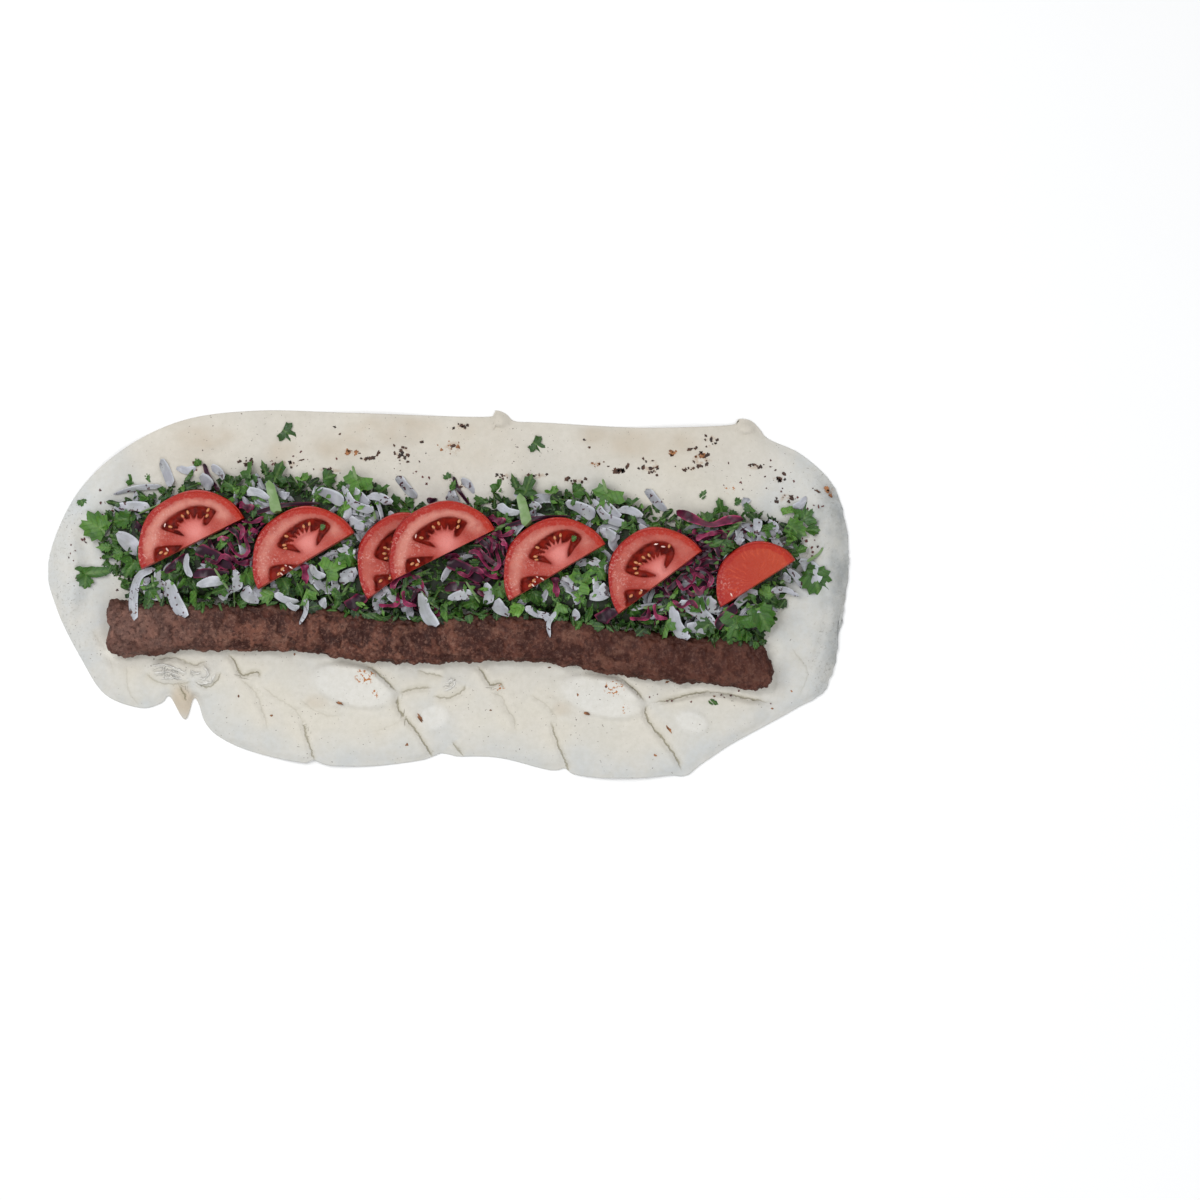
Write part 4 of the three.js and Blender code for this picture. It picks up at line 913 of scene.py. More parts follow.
# The back of the kebab, next to the heap, where a shadow of the heap is painted.
paint(kebab, "back", soft_step(across, 0.35, 1.0))
paint(kebab, "edge", soft_step(np.abs(across), 0.6, 1.0))
paint(kebab, "right", soft_step(points[:, 0], -70, 170))
paint(kebab, "left", 1 - soft_step(points[:, 0], -185, -110))
print("kebab grain from", round(stands.min(), 1), "to", round(stands.max(), 1), "mm")

# %% Finish of the kebab
meat_finish, tree, shader = new_finish("grilled_mince", Roughness=0.5, Specular_IOR_Level=0.2)
colour = mix(tree, rise(tree, noise(tree, 10, 5, 0.7), 0.38, 0.62), srgb(78, 40, 31), srgb(118, 74, 59))
colour = over(tree, colour, rise(tree, noise(tree, 15, 4, 0.7), 0.5, 0.66, 0, 0.5), (134, 100, 84))
# Painted shade: where the grain lies deeper, the meat is darker.
colour = mix(tree, rise(tree, mask(tree, "stands"), 0.22, 0.66), srgb(56, 25, 18), colour)
colour = over(tree, colour, "left", (136, 106, 96), 0.42)
light_grain = rise(tree, noise(tree, 1.9, 6, 0.8), 0.51, 0.6)
colour = over(tree, colour, light_grain, (158, 118, 102), 0.4)
blotch = rise(tree, noise(tree, 6.5, 3, 0.6), 0.52, 0.6)
colour = over(tree, colour, blotch, (62, 28, 22), 0.26)
dark_grain = rise(tree, noise(tree, 2.6, 5, 0.75), 0.4, 0.48, 1, 0)
colour = over(tree, colour, dark_grain, (46, 19, 14), 0.7)
colour = over(tree, colour, "right", (66, 30, 21), 0.5)
# Darker crust along both sides, partly painted shade where the sides turn away from the light.
crust_and_side_shade = times(tree, rise(tree, noise(tree, 13, 3, 0.6), 0.4, 0.6), mask(tree, "edge"))
colour = over(tree, colour, crust_and_side_shade, (62, 32, 22), 0.6)
# Painted shadow of the heap along the back of the kebab.
colour = over(tree, colour, "back", (46, 24, 18), 0.45)
use(tree, colour, shader, "Base Color")
use(tree, rise(tree, noise(tree, 5, 3), 0.3, 0.7, 0.38, 0.66), shader, "Roughness")
bump(tree, shader, noise(tree, 1.6, 4, 0.7), 0.5)
kebab.data.materials.append(meat_finish)
hand_in(kebab, "meat", "kebab")

# %% [markdown]
# ## The tomato slices
# A half slice shows a thin skin, a wall of wet flesh, a pink core with fingers, and pockets of dark gel
# with yellow seeds. A square grid is bent into the half disc, so its rows follow the skin, and it is
# extruded down twice for a skin that bulges. The pockets are sunk where their outlines say, and the
# seeds are small balls pressed in. Three kinds of slice are modelled once and copied, and the last
# one is an end slice that has only flesh.

# %% Kinds of slice
SLICE_THICK = 6.0
SKIN_IN = 0.7
SLICE_COLUMNS, SLICE_ROWS = 150, 46
LEVEL_GAP = 3.0  # between the cut face, the widest line of the skin and the underside, for now
BULGE_AT = 0.42  # where the skin is widest, as a share of the thickness
GEL_DEEP = 1.7
SEED_LONG, BEAD_LONG = 1.35, 1.1

# Outlines of the gel pockets as shares of half the cut: along it, and up from it.
SLICE_KINDS = {
    "wide": dict(
        half=33, tall=0.9, core=(0.14, 0.16), pale=1.4,
        pockets=[
            [(-0.36, 0.47), (-0.22, 0.56), (-0.05, 0.59), (0.14, 0.6), (0.33, 0.57), (0.5, 0.47),
             (0.62, 0.33),
             (0.55, 0.26), (0.38, 0.17), (0.31, 0.2), (0.33, 0.29), (0.2, 0.38), (0.05, 0.41), (-0.1, 0.34),
             (-0.06, 0.17), (-0.2, 0.29)],
            [(-0.62, 0.2), (-0.46, 0.18), (-0.29, 0.11), (-0.17, 0.04), (-0.33, -0.02), (-0.7, -0.03)],
        ],
        fingers=[(0.05, 0.49), (0.19, 0.47), (0.29, 0.41), (0.39, 0.33), (-0.07, 0.44), (-0.17, 0.36)],
        seeds=[(-0.21, 0.43), (0.44, 0.32), (0.06, 0.5), (-0.48, 0.05), (0.5, 0.4), (-0.55, 0.1),
               (0.17, 0.52)],
        beads=[(-0.43, 0.1), (-0.28, 0.5)],
    ),
    "middle": dict(
        half=32.2, tall=0.955, core=(0.2, 0.25), pale=0.9,
        pockets=[
            [(-0.29, 0.45), (-0.22, 0.54), (-0.06, 0.61), (0.14, 0.64), (0.34, 0.64), (0.53, 0.57),
             (0.66, 0.44),
             (0.69, 0.29), (0.5, 0.2), (0.31, 0.12), (0.36, 0.23), (0.47, 0.34), (0.33, 0.39), (0.2, 0.41),
             (-0.03, 0.37), (0.01, 0.16), (-0.14, 0.29)],
            [(-0.62, 0.2), (-0.47, 0.19), (-0.26, 0.08), (-0.15, -0.02), (-0.4, -0.05), (-0.72, -0.04)],
        ],
        fingers=[(-0.15, 0.45), (-0.04, 0.5), (0.08, 0.51), (0.17, 0.55), (0.27, 0.52), (0.38, 0.5),
                 (0.53, 0.38)],
        seeds=[(-0.18, 0.43), (-0.07, 0.55), (0.28, 0.54), (0.39, 0.53), (-0.2, 0.37), (-0.42, 0.08),
               (-0.52, 0.04)],
        beads=[(-0.34, 0.12), (-0.42, 0.07), (-0.48, 0.02), (-0.28, 0.03)],
    ),
    "round": dict(
        half=30.1, tall=1.06, core=(0.16, 0.17), pale=0.35,
        pockets=[
            [(-0.38, 0.58), (-0.17, 0.7), (0.08, 0.74), (0.34, 0.7), (0.54, 0.56), (0.61, 0.36), (0.5, 0.21),
             (0.22, 0.12), (0.28, 0.23), (0.4, 0.34), (0.26, 0.4), (0.08, 0.42), (-0.1, 0.45), (-0.16, 0.42),
             (-0.05, 0.3), (0.04, 0.12), (-0.17, 0.24), (-0.33, 0.42)],
            [(-0.62, 0.26), (-0.44, 0.17), (-0.21, -0.02), (-0.43, -0.05), (-0.76, 0.0), (-0.71, 0.13)],
        ],
        fingers=[(-0.13, 0.52), (-0.04, 0.5), (0.06, 0.52), (0.16, 0.5), (0.25, 0.47), (0.34, 0.44)],
        seeds=[(-0.21, 0.49), (-0.13, 0.57), (-0.09, 0.5), (0.04, 0.56), (0.15, 0.53), (-0.24, 0.4),
               (0.56, 0.44),
               (-0.58, 0.12), (-0.4, 0.06)],
        beads=[(0.38, 0.62), (-0.36, 0.1), (0.46, 0.5)],
    ),
    "end": dict(half=25.4, tall=0.93, core=(0.1, 0.02), pale=0.0, pockets=[], fingers=[], seeds=[],
                beads=[(-0.62, 0.1)]),
}
print("kinds of slice:", ", ".join(SLICE_KINDS))


def slice_masks(kind, x, y):
    """How much gel, core and pocket rim there is at each place on the cut face."""
    half, core = kind["half"], np.array(kind["core"]) * kind["half"]
    gel = np.zeros(x.shape)
    wall = np.zeros(x.shape)
    for outline in kind["pockets"]:
        inside = depth_in(curve_through(np.array(outline) * half, 5, closed=True), x, y)
        gel = np.maximum(gel, soft_step(inside, -0.2, 0.7))
        wall = np.maximum(wall, bell(inside + 0.4, 1.1))
    pink = 0.8 * bell(np.hypot(x - core[0], y - core[1]), 7.5)
    for tip in kind["fingers"]:
        tip = np.array(tip) * half
        away, _, along = beside([core, tip], x, y)
        finger = soft_step(0.35 + 2.6 * (1 - along) ** 1.3 - away, -0.3, 0.4)
        gel = gel * (1 - finger)
        pink = np.maximum(pink, finger * 0.9)
    return gel, pink, wall


def make_slice(name, kind):
    """A half slice around the middle of its cut, lying on z = 0."""
    half, high = kind["half"], kind["half"] * kind["tall"]
    core_x, core_y = (share * half for share in kind["core"])
    piece, column, row = grid_sheet(name, SLICE_COLUMNS, SLICE_ROWS)
    angle = column / (SLICE_COLUMNS - 1) * np.pi
    share = 1 - (1 - row / (SLICE_ROWS - 1)) ** 1.3
    uneven = 1 + 0.008 * np.sin(7 * angle) - 0.05 * bell(angle - 0.45, 0.5) + 0.02 * bell(angle - 2.1, 0.5)
    move_points(piece, np.stack([-half * np.cos(angle) * share * uneven,
                                 high * np.sin(angle) * share * uneven, 0 * angle], 1))
    extrude_down(piece, LEVEL_GAP)
    bpy.ops.object.mode_set(mode="EDIT")
    bpy.ops.mesh.extrude_region_move(TRANSFORM_OT_translate={"value": (0, 0, -LEVEL_GAP * MM)})
    bpy.ops.object.mode_set(mode="OBJECT")
    points = points_of(piece)
    level = np.rint(-points[:, 2] / LEVEL_GAP).astype(int)
    x, y = points[:, 0].copy(), points[:, 1].copy()
    reach = np.hypot(x / half, y / high)
    gel, pink, wall = slice_masks(kind, x, y)
    to_skin = (1 - reach) * high
    top = SLICE_THICK - 0.7 * (1 - soft_step(to_skin, 0, 1.1)) + 0.16 * hills(x, y, 3.2, 31, 2)
    wet = 0.3 * hills(x, y, 6.0, 33)
    top = top - (GEL_DEEP - wet) * gel - 0.25 * pink * (1 - gel) + 0.12 * wall * (1 - gel)
    lean = 5.0 if not kind["pockets"] else SKIN_IN
    inwards = np.where(level == 0, SKIN_IN * 0.9, np.where(level == 2, lean, 0))
    scale = 1 - inwards * reach**6 / high
    points[:, 0], points[:, 1] = x * scale, y * scale
    points[:, 2] = np.where(level == 0, top, np.where(level == 1, SLICE_THICK * BULGE_AT, 0))
    move_points(piece, points)
    on_top = level == 0
    paint(piece, "gel", gel * on_top)
    paint(piece, "pink", pink)
    paint(piece, "wall", wall * on_top)
    paint(piece, "skin", np.where(on_top, 1 - soft_step(to_skin, 0.35, 1.1), soft_step(reach, 0.93, 0.985)))
    paint(piece, "rind", 1 - soft_step(to_skin, 2.4, 5.4))
    paint(piece, "pale",
          kind["pale"] * bell(to_skin - 8, 3.4) * soft_step(y / half, -0.02, 0.25) * (1 - gel))
    paint(piece, "middle", bell(np.hypot(x - core_x, y - core_y), 6))
    paint(piece, "warm", np.clip(0.5 + 0.6 * x / half, 0, 1))
    # Where pale speckles go on the flesh: partly its grain, partly painted glints.
    paint(piece, "grain_and_glints", soft_step(-x / half, -0.3 + 0.4 * (not kind["pockets"]), 0.55) * (1 - gel))
    paint(piece, "ray", np.arctan2(y - core_y, x - core_x))
    close_up(piece, apart=0.02)
    return piece


def add_small(piece, places, toward, size, shape, up, finish):
    """Small flattened balls, pressed into the cut face and joined with the slice."""
    for k, (x, y) in enumerate(places):
        turn = math.atan2(y - toward[1], x - toward[0])
        ball = start_piece(f"small_{k}", bpy.ops.mesh.primitive_uv_sphere_add, segments=12, ring_count=8,
                           radius=size * MM, scale=shape, location=(x * MM, y * MM, up * MM),
                           rotation=(0, 0, turn))
        bpy.ops.object.transform_apply(location=True, rotation=True, scale=True)
        bpy.ops.object.shade_smooth()
        ball.data.materials.append(finish)
        piece.select_set(True)
        bpy.context.view_layer.objects.active = piece
        bpy.ops.object.join()


# %% Finish of the tomato
def tomato_finish(name, ripe):
    """Flesh, skin and gel in one finish; ripe moves the flesh from pink to orange-red."""
    finish, tree, shader = new_finish(name, Subsurface_Weight=0.06, Subsurface_Scale=0.0012,
                                      Subsurface_Radius=(1.0, 0.3, 0.2))
    warm, gel_share = mask(tree, "warm"), mask(tree, "gel")
    flesh = mix(tree, rise(tree, noise(tree, 6, 3, 0.6), 0.34, 0.66), srgb(180, 78, 66), srgb(160, 50, 38))
    pale = times(tree, mask(tree, "pale"), rise(tree, noise(tree, 5, 2), 0.25, 0.6, 0.4, 1.0))
    flesh = over(tree, flesh, rise(tree, pale, 0, 1, 0.0, 1.0 - ripe), (202, 128, 114))
    flesh = mix(tree, ripe, flesh, mix(tree, warm, srgb(168, 42, 32), srgb(182, 66, 38)))
    rind = maths(tree, "ADD", mask(tree, "rind"), rise(tree, noise(tree, 4, 3, 0.6), 0.3, 0.7, -0.35, 0.35))
    rind = times(tree, rise(tree, rind, 0.3, 0.7), rise(tree, mask(tree, "rind"), 0.0, 0.15))
    red = mix(tree, warm, srgb(158, 28, 26), srgb(172, 36, 14))
    flesh = mix(tree, times(tree, rind, 0.92), flesh, red)
    # Painted glints: fine pale speckles, mostly towards one end of the cut, partly the flesh's own grain.
    grain_and_glints = times(tree, mask(tree, "grain_and_glints"), rise(tree, noise(tree, 9, 2), 0.35, 0.6))
    grain = rise(tree, noise(tree, 1.5, 3, 0.75), 0.52, 0.64)
    grain_and_glints = maths(tree, "ADD", times(tree, grain_and_glints, 0.5), 0.12 * (1.0 - ripe))
    flesh = over(tree, flesh, times(tree, grain, grain_and_glints), (224, 166, 156))
    swing = maths(tree, "ADD", mask(tree, "ray"), rise(tree, noise(tree, 7, 2), 0.3, 0.7, -0.12, 0.12))
    rays = maths(tree, "SINE", times(tree, swing, 31.0))
    rays = times(tree, rise(tree, rays, 0.3, 1.0), rise(tree, noise(tree, 5, 2), 0.42, 0.66))
    flesh = over(tree, flesh, rays, (220, 96, 60), 0.12 + 0.22 * ripe)
    flesh = over(tree, flesh, "pink", (194, 86, 76), 1.0 - ripe)
    flesh = over(tree, flesh, "middle", (228, 146, 138), 0.75 * (1.0 - ripe))
    flesh = over(tree, flesh, "wall", (140, 28, 20), 0.38)
    gel = mix(tree, rise(tree, noise(tree, 4, 2, 0.5), 0.36, 0.64), srgb(74, 9, 5), srgb(128, 28, 17))
    colour = mix(tree, gel_share, flesh, gel)
    colour = mix(tree, mask(tree, "skin"), colour, mix(tree, warm, srgb(150, 22, 24), srgb(170, 34, 14)))
    use(tree, colour, shader, "Base Color")
    use(tree, rise(tree, gel_share, 0, 1, 0.34, 0.3), shader, "Roughness")
    dry_shine = rise(tree, mask(tree, "skin"), 0, 1, 0.24, 0.4)
    shine = maths(tree, "SUBTRACT", dry_shine, rise(tree, gel_share, 0, 1, 0.0, 0.2))
    use(tree, shine, shader, "Specular IOR Level")
    fine = times(tree, noise(tree, 1.1, 3, 0.7), rise(tree, mask(tree, "skin"), 0, 1, 1, 0.1))
    bump(tree, shader, times(tree, fine, rise(tree, gel_share, 0, 1, 1, 0.06)), 0.5)
    return finish


# Beads of juice: glossy, with a near-white colour that is a painted glint.
glint_juice_finish, tree, shader = new_finish("juice_glint", Roughness=0.04, Specular_IOR_Level=1.0, Coat_Weight=1.0,
                                        Coat_Roughness=0.03)
use(tree, mix(tree, noise(tree, 3), srgb(204, 140, 122), srgb(236, 212, 204)), shader, "Base Color")
seed_finish, tree, shader = new_finish("tomato_seed", Roughness=0.22, Subsurface_Weight=0.15,
                                       Subsurface_Scale=0.001)
use(tree, mix(tree, noise(tree, 1.5), srgb(182, 104, 62), srgb(200, 140, 92)), shader, "Base Color")
cut_finish = tomato_finish("tomato_cut", 0.0)
end_finish = tomato_finish("tomato_end", 1.0)
print("finishes of the tomato ready")

# %% Lay the slices where their solids are
# Kind, middle of the cut, its turn, and how the slice leans, from left to right.
SLICES = [
    ("wide", (-144.7, 27.5), 0.463, (-0.1, 0.05)), ("middle", (-80.4, 17.7), 0.532, (-0.11, 0.04)),
    ("round", (-21.7, 13.9), 0.646, (-0.1, 0.05)), ("wide", (-2.5, 21.2), 0.463, (-0.02, 0.13)),
    ("middle", (62.1, 11.2), 0.532, (-0.11, 0.05)), ("round", (120.8, 5.6), 0.646, (-0.13, -0.04)),
    ("end", (176.4, 4.8), 0.569, (-0.14, -0.05)),
]


def turned(lean, turn):
    """The matrix of a slice that leans first and is then turned."""
    (cx, sx), (cy, sy), (cz, sz) = ((math.cos(a), math.sin(a)) for a in (*lean, turn))
    about_x = np.array([[1, 0, 0], [0, cx, -sx], [0, sx, cx]])
    about_y = np.array([[cy, 0, sy], [0, 1, 0], [-sy, 0, cy]])
    about_z = np.array([[cz, -sz, 0], [sz, cz, 0], [0, 0, 1]])
    return about_z @ about_y @ about_x


masters = {}
for kind_name, kind in SLICE_KINDS.items():
    master = make_slice("slice_" + kind_name, kind)
    master.data.materials.append(end_finish if kind_name == "end" else cut_finish)
    half, core = kind["half"], np.array(kind["core"]) * kind["half"]
    gel_top = SLICE_THICK - GEL_DEEP
    add_small(master, np.array(kind["seeds"]).reshape(-1, 2) * half, core, SEED_LONG, (1.0, 0.62, 0.45),
              gel_top + 0.4, seed_finish)
    bead_top = gel_top + 0.3 if kind["pockets"] else SLICE_THICK - 0.1
    add_small(master, np.array(kind["beads"]) * half, core, BEAD_LONG, (0.45, 1.2, 0.3), bead_top,
              glint_juice_finish)
    masters[kind_name] = master

slice_places = []
for number, (kind_name, at, turn, lean) in enumerate(SLICES, 1):
    slice_piece = masters[kind_name].copy()
    slice_piece.data = masters[kind_name].data.copy()
    bpy.context.scene.collection.objects.link(slice_piece)
    slice_piece.name = slice_piece.data.name = f"tomato_slice_{number}"
    matrix = turned(lean, turn)
    points = points_of(slice_piece) @ matrix.T
    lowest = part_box(f"tomato_{number}")[0].z / MM
    place = np.array([at[0], at[1], lowest - points[:, 2].min()])
    move_points(slice_piece, points + place)
    slice_places.append((SLICE_KINDS[kind_name], place, matrix))
    hand_in(slice_piece, "tomato", f"tomato_{number}")
for master in masters.values():
    bpy.data.objects.remove(master)

# %% [markdown]
# ## What the salad lies on
# A tossed salad is a pile of separate cut things, and each one rests on those below it. The pile is built
# the same way: a map of small squares keeps how high the ground is, and every piece that is laid down
# raises it. The map starts with the bread, the kebab and a dark core that fills the hidden middle. A
# second map holds the undersides of the tomato slices, which nothing may poke through.

# %% The core and the two maps
CORE_INSET = 6.0  # the loose pieces hide the rim of the core
CORE_LONG = 0.965
CORE_COLUMNS, CORE_ROWS = 120, 44
core_lower = heap_lower * (CORE_LONG, 1) + (0, 2)
core_upper = heap_upper * (CORE_LONG, 1) - (0, CORE_INSET)
core_upper[[0, -1]] = core_lower[[0, -1]]
core_upper[:, 1] = np.maximum(core_upper[:, 1], np.interp(core_upper[:, 0], *core_lower.T))
core = pull_to_outline(
    "salad_core", core_lower, core_upper, CORE_COLUMNS, CORE_ROWS,
    lambda x: 1 + 2 / np.sqrt(0.3 + np.minimum(x - core_lower[0, 0], core_lower[-1, 0] - x)),
    lambda y, rim: 1 + 1.5 * bell(rim, 4),
)
core_below = extrude_down(core)
points = points_of(core)
x, y = points[:, 0], points[:, 1]
CORE_SHARE = 0.8  # the loose pieces make up the rest of the heap
core_top = BED + 0.3 + CORE_SHARE * heap_core_height(x, y) + 0.6 * hills(x, y, 7, 51, 2)
points[:, 2] = np.where(core_below, BED, np.maximum(core_top, BED + 0.1))
move_points(core, points)
close_up(core)
# Painted shade: the core is a dark green that stands for the shade deep in the heap.
core_finish, tree, shader = new_finish("salad_shade", Roughness=0.7)
use(tree, mix(tree, rise(tree, noise(tree, 5, 3), 0.35, 0.65), srgb(20, 28, 13), srgb(36, 48, 24)),
    shader, "Base Color")
core.data.materials.append(core_finish)
hand_in(core, "salad", "salad")

CELL = 1.8  # side of a square of the map
MAP_LOW = np.array([-232.0, -110.0])
MAP_SIZE = (258, 122)
cell_x, cell_y = (MAP_LOW[k] + CELL * (np.indices(MAP_SIZE)[k] + 0.5) for k in (0, 1))


def cell_of(x, y):
    i = np.clip(((x - MAP_LOW[0]) / CELL).astype(int), 0, MAP_SIZE[0] - 1)
    j = np.clip(((y - MAP_LOW[1]) / CELL).astype(int), 0, MAP_SIZE[1] - 1)
    return i, j


def raise_ground(points):
    np.maximum.at(ground, cell_of(points[:, 0], points[:, 1]), points[:, 2])


ground = np.zeros(MAP_SIZE)
raise_ground(points_of(bread))
for step in ((1, 0), (-1, 0), (0, 1), (0, -1)):
    ground = np.where(ground < 0.5, np.roll(ground, step, (0, 1)), ground)
raise_ground(points_of(core))
raise_ground(points_of(kebab))

ceiling = np.full(MAP_SIZE, np.inf)
for kind, place, turn in slice_places:
    flat = np.linalg.inv(turn[:2, :2])
    u, v = (row[0] * (cell_x - place[0]) + row[1] * (cell_y - place[1]) for row in flat)
    covered = (v > -0.5) & (np.hypot(u / kind["half"], v / (kind["half"] * kind["tall"])) < 1.02)
    underside = place[2] + turn[2, 0] * u + turn[2, 1] * v
    ceiling = np.where(covered, np.minimum(ceiling, underside), ceiling)
print("ground up to", round(ground.max(), 1), "mm; slices cover", int(np.isfinite(ceiling).sum()), "squares")

# %% [markdown]
# ## Leaves, onion and cabbage: one of each kind
# Chopped parsley is leaf lobes and straight-cut bits, so a disc is pulled into lobes and teeth, cut with
# a bisect where the knife went, and given a thickness. Onion and cabbage are strips: a narrow grid made
# thick, which is later bent along a line. Each kind is modelled once and repeated in one joined mesh.

# %% Kinds of leaves and strips
LEAF_THICK = 0.35
# Half outlines of leaves: how far the rim is from the middle, from the tip round to the stem.
LEAF_RIMS = {
    "lobed": [1.22, 0.96, 1.0, 0.6, 0.5, 0.84, 1.08, 0.86, 0.94, 0.56, 0.4, 0.3, 0.24],
    "broad": [1.2, 0.94, 1.08, 0.82, 1.0, 0.76, 0.92, 0.64, 0.76, 0.5, 0.44, 0.34, 0.24],
    "foot": [1.15, 0.84, 1.0, 0.78, 0.94, 0.6, 0.5, 0.38, 0.32, 0.3, 0.28, 0.26, 0.25],
    "blade": [1.3, 0.8, 0.72, 0.6, 0.62, 0.46, 0.5, 0.44, 0.5, 0.52, 0.64, 0.74, 0.8],
    "narrow": [1.35, 0.84, 0.82, 0.46, 0.62, 0.42, 0.52, 0.32, 0.4, 0.28, 0.28, 0.24, 0.2],
}


def arrays_of(piece):
    """A finished piece as plain arrays, in triangles; the piece itself goes."""
    bpy.ops.object.mode_set(mode="EDIT")
    bpy.ops.mesh.select_all(action="SELECT")
    bpy.ops.mesh.normals_make_consistent(inside=False)
    bpy.ops.mesh.quads_convert_to_tris()
    bpy.ops.object.mode_set(mode="OBJECT")
    points = points_of(piece)
    faces = np.array([face.vertices[:] for face in piece.data.polygons])
    bpy.data.objects.remove(piece)
    return points, faces


def make_leaf(name, rim, cuts=()):
    """A flat leaf about 2 mm across, pointing along x, with straight knife cuts."""
    around = rim + rim[-2:0:-1]
    leaf = start_disc(name, len(around), "TRIFAN")
    bpy.ops.object.mode_set(mode="EDIT")
    bpy.ops.mesh.select_all(action="SELECT")
    bpy.ops.mesh.inset(thickness=0.42 * MM)
    bpy.ops.object.mode_set(mode="OBJECT")
    points = points_of(leaf)
    angle = np.mod(np.arctan2(points[:, 1], points[:, 0]), 2 * np.pi)
    reach = np.interp(angle, np.linspace(0, 2 * np.pi, len(around) + 1), around + around[:1])
    smooth_reach = 0.45 + 0.5 * reach
    points[:, :2] *= np.where(np.hypot(points[:, 0], points[:, 1]) > 0.9, reach, smooth_reach)[:, None]
    move_points(leaf, points)
    bpy.ops.object.mode_set(mode="EDIT")
    for (cut_x, cut_y), (away_x, away_y) in cuts:
        bpy.ops.mesh.select_all(action="SELECT")
        bpy.ops.mesh.bisect(plane_co=(cut_x * MM, cut_y * MM, 0), plane_no=(away_x, away_y, 0),
                            clear_outer=True)
    bpy.ops.object.mode_set(mode="OBJECT")
    extrude_down(leaf)
    return arrays_of(leaf)


def make_strip(name, long, across):
    """A strip two long and two wide: a grid with a second face under it."""
    strip, _, _ = grid_sheet(name, long, across)
    extrude_down(strip)
    return arrays_of(strip)


def make_chip(name, radii):
    """A crumb of leaf: a few-sided disc with a thickness."""
    chip = start_disc(name, len(radii), "TRIFAN")
    points = points_of(chip)
    rim = np.hypot(points[:, 0], points[:, 1]) > 0.5
    points[rim, :2] *= np.array(radii)[:, None]
    move_points(chip, points)
    extrude_down(chip)
    return arrays_of(chip)


LEAVES = {
    **{name: make_leaf(name, rim) for name, rim in LEAF_RIMS.items()},
    "foot_cut": make_leaf("foot_cut", LEAF_RIMS["foot"], [((0.1, 0), (-1, 0.2))]),
    "blade_cut": make_leaf("blade_cut", LEAF_RIMS["blade"], [((0, 0.1), (0.2, 1)), ((-0.6, 0), (-1, -0.5))]),
    "lobe_end": make_leaf("lobe_end", LEAF_RIMS["broad"], [((-0.1, 0), (-1, 0.3))]),
    "half_leaf": make_leaf("half_leaf", LEAF_RIMS["lobed"], [((0, -0.1), (0.2, -1))]),
    "middle_cut": make_leaf("middle_cut", LEAF_RIMS["lobed"],
                            [((0.6, 0), (1, 0.4)), ((-0.4, 0), (-1, 0.2))]),
    "wedge": make_leaf("wedge", LEAF_RIMS["broad"], [((-0.3, 0), (-1, 0.7)), ((0, -0.25), (0.3, -1))]),
    "sliver": make_leaf("sliver", LEAF_RIMS["broad"], [((0, 0.35), (0.15, 1)), ((0, -0.2), (-0.1, -1))]),
    "corner": make_leaf("corner", LEAF_RIMS["lobed"], [((0.1, 0), (-1, -0.5)), ((0, -0.3), (-0.2, -1))]),
}
CUT_LEAVES = ["foot", "half_leaf", "wedge", "blade_cut", "corner", "foot_cut", "sliver", "lobe_end", "blade"]
CHIPS = [make_chip("chip_a", [1.5, 0.45, 0.6, 0.9, 0.5]), make_chip("chip_b", [1.4, 0.5, 1.2, 0.4]),
         make_chip("chip_c", [1.4, 0.5, 0.45, 1.3, 0.4, 0.6])]
ONION_STRIP = make_strip("onion_strip", 13, 5)
CABBAGE_STRIP = make_strip("cabbage_strip", 15, 4)
STEM_STRIP = make_strip("stem_strip", 9, 3)
print("faces of a leaf and a strip:", len(LEAVES["lobed"][1]), len(ONION_STRIP[1]))

# %% [markdown]
# ## Laying a piece down
# A piece keeps most of its own shape when it lands on the pile: it comes to rest on the higher places
# under it, hangs a little over the lower ones, and a few tips sink in. Strips only feel the ground under
# their middle line, so they stay smooth, while leaves crinkle at every point.


# %% How pieces settle and are joined
class Pile:
    """Collects pieces of one kind, which become one joined mesh."""

    def __init__(self):
        self.points, self.faces, self.masks, self.count = [], [], {}, 0

    def add(self, points, faces, **masks):
        self.points.append(points)
        self.faces.append(faces + self.count)
        for name, values in masks.items():
            self.masks.setdefault(name, []).append(np.broadcast_to(values, len(points)))
        self.count += len(points)

    def joined(self, name, finish, slot, *nodes):
        masks = {mask_name: np.concatenate(values) for mask_name, values in self.masks.items()}
        piece = joined_copies(name, np.vstack(self.points), np.vstack(self.faces).tolist(), **masks)
        piece.data.materials.append(finish)
        close_up(piece, apart=0.0001, smooth=50)
        hand_in(piece, slot, *nodes)


def rest(points, under, hang):
    """The heights of a piece after it has come to rest on the ground under its points."""
    own = points[:, 2]
    level = np.quantile(under - own, 0.8)
    lies = level + own
    lies = lies + hang * (np.minimum(under + own + 0.15, lies) - lies)
    lies = np.maximum(lies, under - 0.5 + 0.6 * own)
    roof = ceiling[cell_of(points[:, 0], points[:, 1])]
    lies = np.minimum(lies, roof - 0.7 + 0.3 * np.clip(own, -1, 1))
    return np.column_stack([points[:, :2], lies])


def settle(points, faces):
    """The ground rises to a piece that has been laid down."""
    raise_ground(points)
    raise_ground(points[faces].mean(axis=1))


